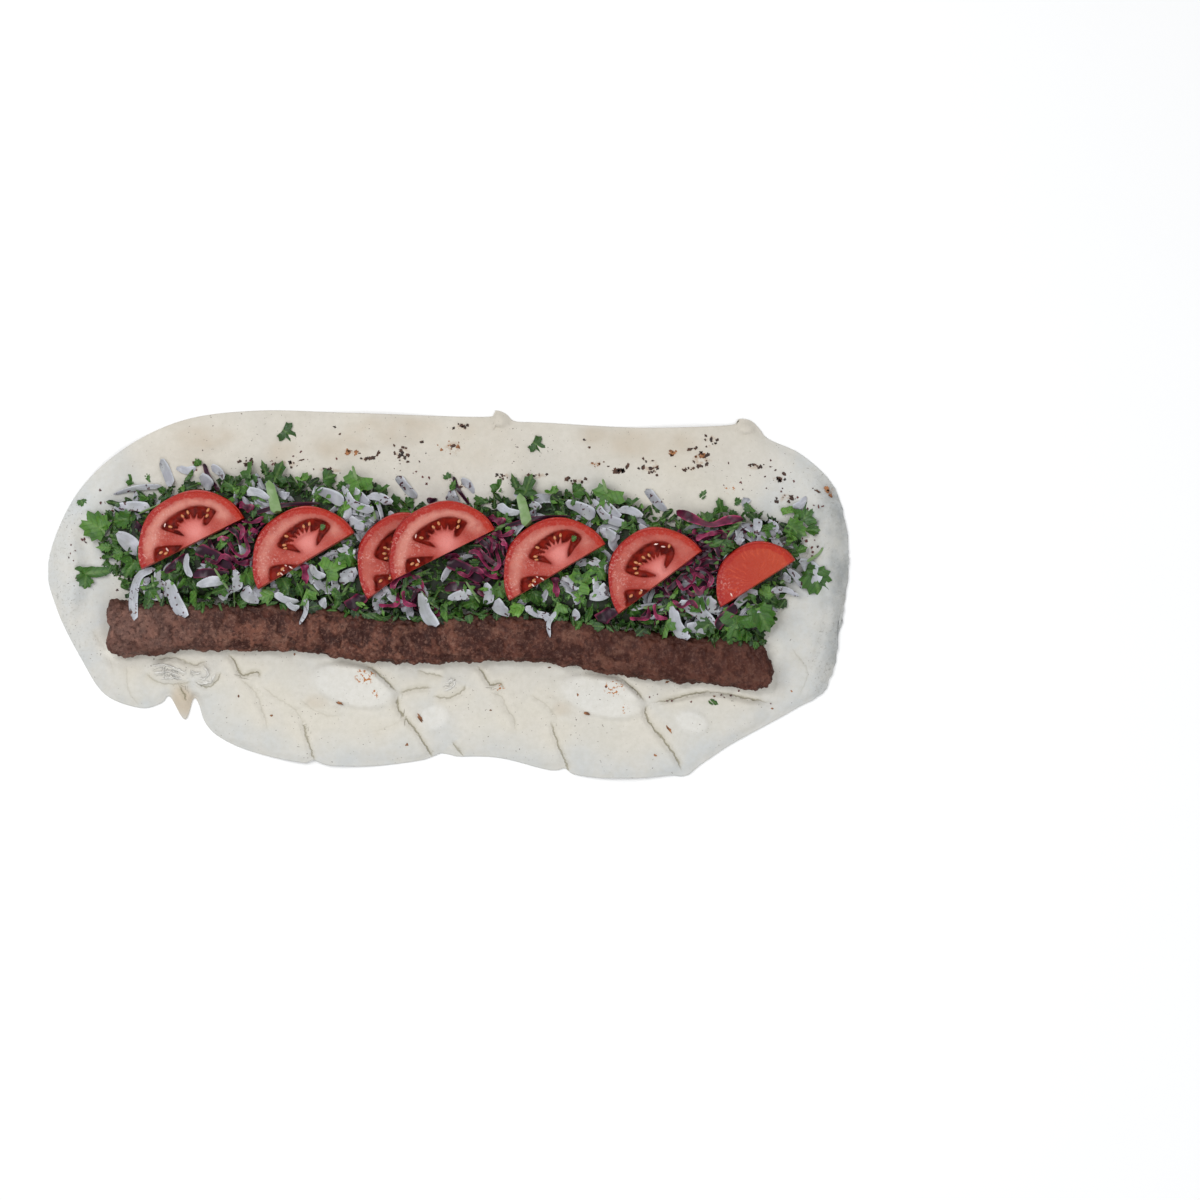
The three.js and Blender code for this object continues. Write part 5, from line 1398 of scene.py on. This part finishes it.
def lay_leaf(pile, kind, at, size, turn, fold, curl, tint, hang=0.55):
    """A leaf with its tip in the direction of turn, folded along its rib and curled along its length."""
    flat, faces = kind
    u, v = flat[:, 0], flat[:, 1]
    half = size / 2
    across = v * (1 - 0.35 * (7.3 * tint % 1)) * np.cos(fold)
    high = half * (fold * np.abs(v) + curl * u * u + 0.12 * np.sin(7 * v + 5 * u + 9 * tint))
    x = at[0] + half * (u * math.cos(turn) - across * math.sin(turn))
    y = at[1] + half * (u * math.sin(turn) + across * math.cos(turn))
    points = np.column_stack([x, y, high + LEAF_THICK * flat[:, 2]])
    points = rest(points, ground[cell_of(x, y)], hang)
    settle(points, faces)
    pile.add(points, faces, tint=tint, u=u, v=v)


def lay_strip(pile, kind, line, wide, high, tint, arch=1.0, pointed=0.0, hang=0.4, twist=0.0, wave=0.0):
    """A strip bent along a line, with a rounded section and ends that may come to a point."""
    flat, faces = kind
    u, v = flat[:, 0], flat[:, 1]
    lengths = np.concatenate([[0], np.cumsum(np.hypot(*np.diff(line, axis=0).T))])
    cut_aslant = v * wide / 3 * math.sin(17 * tint) * u * u
    along = (u + 1) / 2 * lengths[-1] + cut_aslant
    place = np.stack([np.interp(along, lengths, axis) for axis in line.T], 1)
    ahead = np.stack([np.interp(along + 0.5, lengths, axis) - np.interp(along - 0.5, lengths, axis)
                      for axis in line.T], 1)
    ahead /= np.maximum(np.hypot(*ahead.T), 1e-6)[:, None]
    blunt = np.sqrt(1 - 0.75 * np.abs(u) ** 8)
    taper = blunt * (1 - pointed * np.abs(u) ** 2.5) * (1 + 0.3 * u * math.sin(40 * tint))
    lean = twist * np.sin(2.5 * u + 6 * tint)
    offset = v * wide / 2 * taper * np.cos(lean)
    x, y = place[:, 0] - ahead[:, 1] * offset, place[:, 1] + ahead[:, 0] * offset
    top = arch * high * (1 - v * v) + (1 - arch) * high
    body = np.where(flat[:, 2] < -0.5, 0, 0.35 * high + 0.65 * top * taper)
    own = body + v * wide / 2 * np.sin(lean) + wave * np.sin(5 * u + 9 * tint)
    columns = np.rint((u + 1) * 1000).astype(int)
    order, group = np.unique(columns, return_inverse=True)
    under = np.full(len(order), -np.inf)
    np.maximum.at(under, group, ground[cell_of(x, y)])
    for _ in range(2):
        under = np.convolve(np.pad(under, 1, "edge"), [0.25, 0.5, 0.25], "valid")
    points = rest(np.column_stack([x, y, own]), under[group], hang)
    settle(points, faces)
    pile.add(points, faces, tint=tint, u=along, v=v)


def arc(at, turn, long, bend):
    """The line of a random strip: it starts in one direction and turns steadily."""
    steps = np.linspace(-0.5, 0.5, 9)
    heading = turn + bend * steps
    step = long / 8 * np.stack([np.cos(heading), np.sin(heading)], 1)
    line = np.cumsum(step, axis=0)
    return line - line.mean(axis=0) + at


def clear_of_slices(x, y):
    return not np.isfinite(ceiling[cell_of(np.array(x), np.array(y))])


# %% [markdown]
# ## The tossed salad
# First the deeper layers are scattered by chance: parsley everywhere, onion evenly, and red cabbage mostly
# in three loose clusters. A fixed seed keeps the heap the same at each run.

# %% Scatter the deeper layers
chance = np.random.default_rng(7)
parsley, onion, cabbage, stems = Pile(), Pile(), Pile(), Pile()
LAYERS, LEAVES_EACH = 3, 100
SMALL_LEAVES, STEMS, CRUMBS = 170, 36, 240
CABBAGE_CLUSTERS = [(-118, 26, 26, 16), (25, 18, 26, 16), (145, 20, 22, 22), (-20, 0, 14, 8),
                    (122, -8, 12, 8)]


UNDER_SLICES = 0.25  # this share of the places under a slice is used


def place_in_heap(margin):
    """A random place in the heap, so far in from its edge, seldom one that a slice of tomato hides."""
    while True:
        at = np.array([chance.uniform(-202, 206), chance.uniform(-28, 68)])
        far_in = depth_in(heap_plan, at[:1], at[1:])[0] > margin
        if far_in and (clear_of_slices(*at) or chance.random() < UNDER_SLICES):
            return at


def scatter_leaf(size, tint):
    kind = LEAVES[chance.choice(CUT_LEAVES + ["broad"])]
    lay_leaf(parsley, kind, place_in_heap(size * 0.2), size, chance.uniform(0, 2 * np.pi),
             chance.uniform(-0.5, 0.7), chance.uniform(-0.5, 0.3), tint)


def scatter_onion():
    long, wide = chance.uniform(10, 26), chance.uniform(2.2, 5.6)
    line = arc(place_in_heap(long * 0.25), chance.normal(2.4, 0.9), long, chance.normal(0, 1.6))
    lay_strip(onion, ONION_STRIP, line, wide, chance.uniform(0.6, 1.2), 0.8 * chance.random(), arch=0.5,
              pointed=chance.uniform(0.0, 0.6), twist=chance.uniform(0, 0.8))


def scatter_cabbage():
    cx, cy, long, wide = CABBAGE_CLUSTERS[chance.choice(5, p=[0.27, 0.27, 0.3, 0.08, 0.08])]
    at = np.array([chance.normal(cx, long / 2), chance.normal(cy, wide / 2)])
    if depth_in(heap_plan, at[:1], at[1:])[0] < 3:
        at = place_in_heap(5)
    length = chance.uniform(10, 28)
    line = arc(at, chance.uniform(0, np.pi), length, chance.normal(0, 2.2))
    line = line + chance.uniform(0, 1.3) * np.sin(np.arange(len(line)) * 1.6 + 6 * chance.random())[:, None]
    lay_strip(cabbage, CABBAGE_STRIP, curve_through(line, 4), chance.uniform(1.2, 3.6),
              chance.uniform(0.6, 1.0), chance.random(), arch=0.2, twist=chance.uniform(0.2, 1.1),
              wave=chance.uniform(0, 1.0))


def scatter_stem():
    long = chance.uniform(7, 20)
    line = arc(place_in_heap(long * 0.25), chance.uniform(0, np.pi), long, chance.normal(0, 0.6))
    lay_strip(stems, STEM_STRIP, line, chance.uniform(0.9, 1.8), 0.9, chance.random())


def scatter_chip():
    kind = CHIPS[chance.choice(3)]
    lay_leaf(parsley, kind, place_in_heap(-1.0), chance.uniform(2.4, 5.5), chance.uniform(0, 2 * np.pi),
             chance.uniform(-0.4, 0.4), 0, chance.random(), hang=0.7)


def cover_bare_ground():
    """Leaves fall where the core or the bread still shows inside the heap."""
    inside = depth_in(heap_plan, cell_x.ravel(), cell_y.ravel()).reshape(MAP_SIZE)
    in_heap = inside > np.where(cell_y < 0, -3.0, -1.0)
    bare = in_heap & (ground < bare_ground + 0.1)
    for i, j in chance.permutation(np.argwhere(bare)):
        if ground[i, j] < bare_ground[i, j] + 0.1:
            kind = LEAVES[chance.choice(list(LEAVES))]
            lay_leaf(parsley, kind, (cell_x[i, j], cell_y[i, j]), chance.uniform(6, 10),
                     chance.uniform(0, 2 * np.pi), chance.uniform(-0.3, 0.5), chance.uniform(-0.3, 0.2),
                     chance.uniform(0, 0.6))


bare_ground = ground.copy()
for layer in range(LAYERS):
    for _ in range(LEAVES_EACH):
        # Deeper layers get a lower tint: their leaves are painted darker, as shade.
        scatter_leaf(chance.uniform(10, 18), chance.random() * (0.3 + 0.3 * layer))
    for _ in range(34 + 14 * layer):
        scatter_onion()
    for _ in range(16 + 20 * layer):
        scatter_cabbage()
for _ in range(STEMS):
    scatter_stem()
for _ in range(SMALL_LEAVES):
    scatter_leaf(chance.uniform(6, 13), chance.random())
for _ in range(CRUMBS):
    scatter_chip()
cover_bare_ground()
print("scattered; ground now up to", round(ground.max(), 1), "mm")

# %% [markdown]
# The pieces on top are the ones that are seen, so they are laid one by one at their own places. The middle
# of the heap shows the same pieces twice, one group in each half, so those lines are used again there.

# %% Lay the top pieces
TWIN_SPAN = (-146, -4)  # the part of the left half that is seen again in the right half
CURLED_FROM = 0.75  # cabbage of a pinker tint is curled
BIG_LEAF = 13
TOP_SMALL_LEAVES, TOP_CRUMBS = 40, 90


def with_twin(places):
    """The places, and once more in the right half if they lie in the part that is repeated."""
    places = np.array(places, float)
    middle = places.mean(axis=0)
    return [places, places + TWIN] if TWIN_SPAN[0] < middle[0] < TWIN_SPAN[1] else [places]


# Onion: line, width, and a tint that is higher for clear white and lower for onion painted grey as in shade.
TOP_ONIONS = [
    ([(-164.5, 76.6), (-161, 69), (-158.1, 60.9)], 6.4, 0.7), ([(-155.2, 72.2), (-144.3, 70.7)], 5.4, 0.8),
    ([(-135.5, 72.2), (-131, 69.5), (-127.6, 64.8)], 5, 0.6),
    ([(-191.5, 56.4), (-178, 60), (-164, 60.9)], 3.7, 0.5),
    ([(-190, 48.1), (-179, 49.5), (-168.9, 48.1)], 6.9, 0.7),
    ([(-189, 33.3), (-183, 30), (-174.8, 22.5)], 10.8, 0.95), ([(-142.4, 65.8), (-135.5, 58.9)], 8, 0.3),
    ([(-158, 46), (-148, 47.5), (-140, 44)], 4, 0.5), ([(-164, 6.8), (-159, -2)], 5, 0.2),
    ([(-147.3, 22.5), (-145.3, 8.8)], 4, 0.8), ([(-142.4, 3.9), (-134, 6.5), (-125.7, 6.8)], 7, 0.95),
    ([(-121.7, 12.7), (-119.8, 0.9)], 7, 0.7), ([(-115.8, 2.9), (-107, -4)], 8, 0.6),
    ([(-113.9, 57.9), (-101.1, 53)], 5.4, 0.9), ([(-96.2, 57.9), (-90.3, 55)], 5, 0.5),
    ([(-75.6, 58.9), (-67, 56), (-58.8, 51)], 7.9, 0.35), ([(-57.9, 61.8), (-52, 57), (-45, 50)], 6, 0.5),
    ([(-55.9, 42.2), (-47, 38.3)], 7, 0.7), ([(-59.8, 27.4), (-48, 24.5)], 3, 0.7),
    ([(-77.5, 16.6), (-69.7, 8.8)], 5, 0.8), ([(-62.8, 24.5), (-50, 18.6)], 5, 0.95),
    ([(-61.8, 6.8), (-51, 10.7)], 9, 0.8), ([(-98.2, -0.1), (-84.4, -5)], 5, 0.9),
    ([(-91.3, -5), (-84.4, -8.9)], 4, 0.8), ([(-71.6, -3), (-68.7, -8)], 5, 0.6),
    ([(-29.2, 67), (-24, 60), (-18.4, 54.3)], 6, 0.4), ([(-59.6, 61.2), (-41.9, 46.4)], 5.5, 0.5),
    ([(-45.9, 55.3), (-32.1, 50.4)], 6, 0.8), ([(-106, 36), (-98, 30), (-94, 22)], 6, 0.6),
    ([(-34, 46), (-24, 42)], 5, 0.7), ([(159.5, 22.9), (155.6, 11.1), (147.7, 3.3)], 6.5, 0.95),
    ([(168.4, 32.8), (164.4, 27.8)], 6, 0.4), ([(176.2, 42.6), (174.3, 33.7)], 6, 0.9),
    ([(182, 40), (188, 35)], 5, 0.6), ([(171.3, 54.4), (169.4, 49.5)], 5, 0.3),
    ([(196.9, 48.5), (203.8, 55.4)], 5, 0.6), ([(191, 11.1), (195.9, 7.2)], 5, 0.7),
    ([(193, 14), (199, 9), (203, 2)], 5, 0.95), ([(184, 1), (192, 2), (200, -2)], 4, 0.9),
    ([(200, 18), (207, 14), (211, 4)], 11, 0.96), ([(149.7, -1.6), (153.6, -11.5)], 8, 0.8),
    ([(131, -6), (142, -10), (152, -20)], 9, 0.7), ([(136, -20), (147, -22)], 7, 0.6),
]
# The onion pieces that reach over the kebab.
OVER_MEAT_ONIONS = [
    ([(-166, 13.7), (-175.3, 9.8), (-178.7, -2), (-178.3, -15.8)], 5.7, 0.85),
    ([(-158.1, 7.8), (-155.2, -3), (-149.3, -14.3)], 8.4, 0.85), ([(-80.5, -3), (-84.4, -17.8)], 3.2, 0.9),
    ([(-14.4, 0.2), (-12.5, -10.6), (-6.6, -19.4)], 8.2, 0.85),
]
# Red cabbage: line, width, and a tint that is higher for pink.
TOP_CABBAGE = [
    ([(-139.4, 74.1), (-137.5, 67.7), (-130.6, 57.9)], 2.3, 0.1),
    ([(-178.2, 39.2), (-172.8, 35.3)], 4, 0.3), ([(-119.8, 51), (-110, 47.1)], 5, 0.8),
    ([(-110, 45.1), (-92.3, 50), (-72.6, 51)], 2.4, 0.1),
    ([(-130.6, 30.4), (-125.7, 30.9), (-120.8, 23.5), (-116.8, 20.6), (-112.9, 23.5), (-114.9, 32.4),
      (-112.9, 36.3)], 2.4, 0.9),
    ([(-111.9, 36.3), (-107, 33.3), (-108, 26.5)], 2.6, 0.9),
    ([(-125, 38), (-119, 33), (-117, 27)], 3, 0.6),
    ([(-142.4, 25.5), (-131.6, 20.6), (-122.7, 13.7)], 7.5, 0.4),
    ([(-144.3, 10.7), (-134, 11.5), (-123.7, 10.7)], 5, 0.1), ([(-161, 11.7), (-148.3, 20.6)], 5, 0.5),
    ([(-81.4, 16.6), (-80.5, 4.8)], 4.5, 0.9), ([(-56.9, -8.9), (-47, -1)], 8, 0.3),
    ([(-12.5, 53.3), (-6.6, 51.8)], 4, 0.2), ([(-39, -7.1), (-29.2, -6.6), (-28.2, 0.2)], 2.8, 0.95),
    ([(-25.2, 1.2), (-23.8, -5.7), (-17.4, -7.1)], 2.8, 0.95),
    ([(130, 47), (139.9, 42.1), (149.7, 38.7), (159.5, 41.6), (168.4, 41.6)], 5.5, 0.78),
    ([(140.9, 30.8), (149.7, 33.7), (155.6, 33.7)], 3, 0.9),
    ([(137, 31), (143, 25), (151, 27), (155, 20)], 3, 0.3), ([(135, 24), (142, 20), (148, 24)], 2.5, 0.2),
    ([(125.1, 1.3), (135.9, 12.1)], 3, 0.3), ([(134, 10), (139, 6), (141, 11), (146, 8)], 2.4, 0.8),
    ([(135, 2), (140, -1), (145, 3), (148, -1)], 2.4, 0.7),
    ([(164.4, -7.5), (155.6, -15.4), (152.6, -20.3)], 6, 0.4), ([(120, 34), (128, 30), (133, 36)], 3, 0.8),
    ([(-127, 36), (-121, 40), (-116, 36), (-118, 30)], 2.6, 0.85),
    ([(-106, 40), (-101, 35), (-103, 28), (-107, 24)], 2.6, 0.85),
    ([(-124, 22), (-118, 17), (-110, 18)], 3.2, 0.85),
    ([(130, 8), (134, 2), (139, 5), (143, 0), (147, 4)], 2.8, 0.82),
    ([(128, -4), (133, -8), (138, -5), (142, -9)], 2.8, 0.85),
    ([(140, 14), (146, 13), (150, 8), (147, 3)], 2.6, 0.84),
    ([(-137, 20), (-131, 17), (-127, 21), (-122, 18)], 3, 0.82),
    ([(-118, 42), (-111, 40), (-104, 43)], 2.4, 0.84),
]
# Parsley: place, size, kind, direction of its tip in degrees, and a tint that is higher for bright green
# and lower for leaves painted darker as in shade.
TOP_LEAVES = [
    (-199, 37, 19, "broad", 150, 0.75), (-180.7, 63.8, 8, "lobe_end", 100, 0.5),
    (-171.4, 64.8, 6, "narrow", 80, 0.6), (-148.8, 66.8, 9, "lobed", 60, 0.5),
    (-149.3, 59.9, 10, "broad", 20, 0.1), (-142.4, 72.7, 7, "lobe_end", 120, 0.6),
    (-188.6, 51, 9, "broad", 170, 0.15), (-182.2, 42.2, 12, "narrow", 190, 0.6),
    (-179.7, 16.6, 13, "lobed", 240, 0.55), (-186.6, 22.5, 8, "lobe_end", 200, 0.7),
    (-112.9, 67.7, 12, "lobed", 80, 0.5), (-98.2, 65.8, 14, "lobed", 70, 0.35),
    (-104, 69, 9, "narrow", 110, 0.3), (-83.4, 63.8, 8, "lobe_end", 60, 0.85),
    (-71.6, 64.8, 12, "lobed", 20, 0.55), (-51, 62.8, 18, "lobed", 250, 0.75),
    (-56.9, 21.5, 11, "lobed", 300, 0.6), (-66.7, 13.7, 16, "lobed", 30, 0.9),
    (-101, -1, 11, "lobed", 200, 1.0), (-80.5, -0.1, 12, "broad", 240, 0.85),
    (-113.9, 10.7, 11, "broad", 320, 0.7), (-143.4, -2, 12, "lobed", 280, 0.7),
    (-151.2, 10.7, 9, "broad", 100, 0.15), (-137.5, 17.6, 9, "narrow", 30, 0.2),
    (-128, 2, 9, "lobed", 200, 0.5), (-90, 22, 8, "narrow", 150, 0.45), (-60, 34, 12, "lobed", 350, 0.55),
    (-44, 30, 9, "lobed", 60, 0.4), (-38, 58, 9, "half_leaf", 30, 0.5), (-122, 60, 10, "lobed", 140, 0.45),
    (-132, 48, 8, "narrow", 20, 0.35), (-22, 47, 9, "lobed", 200, 0.5),
    (-66, 42, 10, "half_leaf", 100, 0.35), (-105, 18, 8, "lobed", 60, 0.6),
    (-94, 8, 10, "half_leaf", 300, 0.45), (-62, -4, 9, "lobed", 250, 0.5), (-40, 4, 8, "narrow", 100, 0.5),
    (-160, 52, 9, "lobed", 60, 0.5), (-172, 54, 8, "narrow", 140, 0.6),
    (-168, 40, 9, "half_leaf", 220, 0.4), (-194, 26, 9, "narrow", 180, 0.7),
    (-170, 2, 9, "lobed", 300, 0.55), (193, 46.5, 12, "narrow", 20, 0.85),
    (203.8, 43.5, 14, "lobed", 60, 0.6), (195.9, 37.7, 14, "broad", 330, 0.75),
    (206, 36, 10, "lobed", 0, 0.5), (180.2, 36.7, 10, "narrow", 280, 0.55),
    (173.3, 47.5, 9, "lobed", 120, 0.6), (155.6, 48, 9, "lobed", 100, 0.5),
    (198.8, 23.9, 9, "lobed", 20, 0.6), (204, 13, 10, "lobed", 0, 0.3), (209, 10, 17, "broad", 285, 0.55),
    (177, -11, 18, "broad", 300, 0.6), (164.4, -16.4, 18, "lobed", 260, 0.6),
    (143.8, -8.5, 12, "lobed", 140, 0.55), (124, -18.4, 12, "narrow", 250, 0.75),
    (147.7, -18.4, 12, "broad", 220, 0.3), (128, -0.7, 9, "lobed", 60, 0.9),
    (172, 22, 10, "lobed", 100, 0.5), (190, 22, 10, "broad", 160, 0.45), (164, 38, 9, "narrow", 200, 0.4),
    (170, -22, 9, "lobed", 270, 0.5), (152, 28, 8, "lobed", 20, 0.45),
]
# Stems: line, width and tint.
TOP_STEMS = [
    ([(-101.6, 64.3), (-99, 54), (-96.7, 44.2)], 5.6, 0.8), ([(-54.4, 72.7), (-52, 64)], 1.8, 0.8),
    ([(204.7, 18), (211, 22), (214, 26)], 1.6, 0.9), ([(-176, 45), (-160, 52)], 1.3, 0.7),
    ([(-132, 14), (-124, 2)], 1.4, 0.7), ([(160, 5), (176, 9)], 1.4, 0.6),
    ([(-46, 14), (-36, 24)], 1.3, 0.7),
]


def bowed(places):
    """A straight line of two places gets a middle one, a little to the side."""
    if len(places) > 2:
        return places
    ahead = places[1] - places[0]
    aside = np.array([-ahead[1], ahead[0]]) * chance.choice([-1, 1]) * chance.uniform(0.1, 0.2)
    return np.array([places[0], places.mean(axis=0) + aside, places[1]])


def lay_cabbage(curled):
    """The flat strips, or the curled ones that show the pink of their cut edges and lie highest."""
    for line, wide, tint in TOP_CABBAGE:
        if (tint > CURLED_FROM) != curled:
            continue
        for places in with_twin(line):
            lay_strip(cabbage, CABBAGE_STRIP, curve_through(places, 8), wide, 0.9, tint, arch=0.2,
                      twist=0.5 + 0.5 * curled, wave=0.4 + 0.4 * curled, hang=0.3)


lay_cabbage(False)
for line, wide, tint in TOP_ONIONS + OVER_MEAT_ONIONS:
    for places in with_twin(line):
        lay_strip(onion, ONION_STRIP, curve_through(bowed(places), 6), 0.85 * wide, 0.7 + 0.06 * wide, tint,
                  arch=0.4, pointed=0.6 if tint > 0.9 else chance.uniform(0.0, 0.4), hang=0.4, twist=0.35)
for k, (x, y, size, kind, degrees, tint) in enumerate(TOP_LEAVES):
    kind = kind if size > BIG_LEAF or k % 4 == 0 else CUT_LEAVES[k % len(CUT_LEAVES)]
    for place in with_twin([(x, y)]):
        lay_leaf(parsley, LEAVES[kind], place[0], 1.25 * size, math.radians(degrees),
                 chance.uniform(-0.2, 0.5), chance.uniform(-0.35, 0.1), tint, hang=0.45)
for line, wide, tint in TOP_STEMS:
    for places in with_twin(line):
        lay_strip(stems, STEM_STRIP, curve_through(places, 8), wide, 1.1, tint, arch=0.8, hang=0.3)
for _ in range(TOP_SMALL_LEAVES):
    scatter_leaf(chance.uniform(5, 9), chance.uniform(0.3, 1))
for _ in range(TOP_CRUMBS):
    scatter_chip()
lay_cabbage(True)

# One bit of leaf lies on two of the slices, in the end of the pocket.
for number in (2, 5):
    kind, place, turn = slice_places[number - 1]
    u, v = 0.53 * kind["half"], 0.36 * kind["half"]
    flat, faces = LEAVES["lobe_end"]
    bit = np.column_stack([u + 2.6 * flat[:, 0], v + 2.0 * flat[:, 1],
                           SLICE_THICK + 0.4 + 0.3 * flat[:, 2] + 0.3 * np.abs(flat[:, 1])])
    parsley.add(place + bit @ turn.T, faces, tint=0.5, u=flat[:, 0], v=flat[:, 1])
print("heap up to", round(ground.max(), 1), "mm")

# %% [markdown]
# The finishes follow what each thing is: parsley is matt green with paler ribs, onion is a clear white
# that lets light in and is dusted with dark red sumac, and red cabbage is almost black with pink where
# the knife went through.

# %% Finishes of the salad
leaf_finish, tree, shader = new_finish("parsley", Roughness=0.42, Specular_IOR_Level=0.35,
                                       Subsurface_Weight=0.08, Subsurface_Scale=0.001)
# The leaves' tint runs from a dark green, painted shade on the deeper leaves, to a bright green.
tint = mask(tree, "tint")
colour = mix(tree, rise(tree, tint, 0, 0.6), srgb(20, 34, 12), srgb(62, 104, 34))
colour = over(tree, colour, rise(tree, tint, 0.6, 1.0), (110, 156, 68))
# Grey-green patches, partly the leaves' own tone and partly a painted sheen.
grey_green_and_sheen = times(tree, rise(tree, noise(tree, 7, 2), 0.42, 0.7), 0.55)
colour = over(tree, colour, grey_green_and_sheen, (76, 100, 76))
off_rib = maths(tree, "ABSOLUTE", mask(tree, "v"))
rib = rise(tree, off_rib, 0.03, 0.13, 0.4, 0.0)
colour = over(tree, colour, rib, (118, 150, 84))
slant = maths(tree, "SUBTRACT", mask(tree, "u"), times(tree, off_rib, 0.9))
slant = times(tree, slant, 20.0)
vein = rise(tree, maths(tree, "SINE", slant), 0.55, 1, 0, 0.3)
colour = over(tree, colour, vein, (34, 58, 22))
use(tree, colour, shader, "Base Color")
bump(tree, shader, maths(tree, "ADD", noise(tree, 1.4, 2), vein), 0.25)

onion_finish, tree, shader = new_finish("onion", Roughness=0.34, Specular_IOR_Level=0.4,
                                        Subsurface_Weight=0.25, Subsurface_Scale=0.0015,
                                        Subsurface_Radius=(1.0, 0.95, 1.0))
tint, side = mask(tree, "tint"), mask(tree, "v")
# From grey to clear white by the tint; the grey is partly painted shade on onion lying in shade.
colour = mix(tree, tint, srgb(132, 131, 140), srgb(183, 185, 193))
# Each strip is darker towards one side, and gets a painted highlight along its other edge.
colour = over(tree, colour, rise(tree, side, -1.0, 0.1, 0.35, 0.0), (122, 126, 128))
lines = maths(tree, "SINE", times(tree, side, 11.0))
colour = over(tree, colour, rise(tree, lines, 0.1, 1, 0, 0.25), (146, 146, 156))
colour = over(tree, colour, rise(tree, noise(tree, 8, 2), 0.42, 0.7, 0, 0.5), (126, 132, 122))
# Painted highlight along one edge of each strip.
colour = over(tree, colour, rise(tree, side, 0.5, 0.85, 0.0, 0.6), (204, 208, 216))
sumac = times(tree, rise(tree, noise(tree, 2.2, 1, 0.5), 0.625, 0.655),
              rise(tree, noise(tree, 22, 1), 0.42, 0.52))
colour = over(tree, colour, sumac, (60, 18, 26))
use(tree, colour, shader, "Base Color")

cabbage_finish, tree, shader = new_finish("red_cabbage", Roughness=0.28, Specular_IOR_Level=0.3)
tint = mask(tree, "tint")
dark = mix(tree, rise(tree, noise(tree, 6, 2), 0.35, 0.65), srgb(24, 9, 16), srgb(52, 22, 42))
pink = mix(tree, tint, srgb(104, 24, 54), srgb(178, 62, 106))
edge = maths(tree, "ABSOLUTE", mask(tree, "v"))
share = maths(tree, "ADD", rise(tree, edge, 0.62, 1.0), rise(tree, tint, 0.6, 1.1))
share = times(tree, share, rise(tree, noise(tree, 5, 2), 0.35, 0.6, 0.15, 1))
colour = mix(tree, maths(tree, "MINIMUM", share, 1.0), dark, pink)
use(tree, colour, shader, "Base Color")

stem_finish, tree, shader = new_finish("stem", Roughness=0.4)
colour = mix(tree, mask(tree, "tint"), srgb(72, 100, 46), srgb(112, 144, 84))
use(tree, mix(tree, rise(tree, noise(tree, 3, 2), 0.4, 0.6, 0, 0.4), colour, srgb(140, 160, 120)),
    shader, "Base Color")

parsley.joined("salad_parsley", leaf_finish, "leaf", "salad")
onion.joined("salad_onion", onion_finish, "salad", "salad")
cabbage.joined("salad_cabbage", cabbage_finish, "salad", "salad")
stems.joined("salad_stems", stem_finish, "leaf", "salad")

# %% [markdown]
# ## Leaves on the bread
# A few bits of parsley fell on the bread beside the heap. Each is its own piece, and lies on the dough.

# %% Lay the loose leaves
LOOSE_LEAVES = [
    [(-93, 92, -0.6, 13, "lobed", 0.3)], [(50, 85, -0.6, 13, "lobed", 0.35)],
    [(2, 60, 1.2, 9, "narrow", 0.6)], [(145, 55, 1.2, 9, "narrow", 0.6)],
    [(-210, 53, -1.0, 7, "lobe_end", 0.55)],
    [(-208, 11, 0.12, 27, "sliver", 0.62), (-207, 9.5, -1.7, 13, "lobe_end", 0.58)],
    [(150, -62, -0.3, 9, "narrow", 0.5)], [(164, 52, 0.4, 7, "lobe_end", 0.5)],
]
for number, parts in enumerate(LOOSE_LEAVES, 1):
    alone = Pile()
    for x, y, turn, size, kind, tint in parts:
        lay_leaf(alone, LEAVES[kind], (x, y), size, turn, 0.15, -0.1, tint, hang=0.5)
    alone.joined(f"loose_leaf_{number}", leaf_finish, "leaf", f"parsley_leaf_{number}")
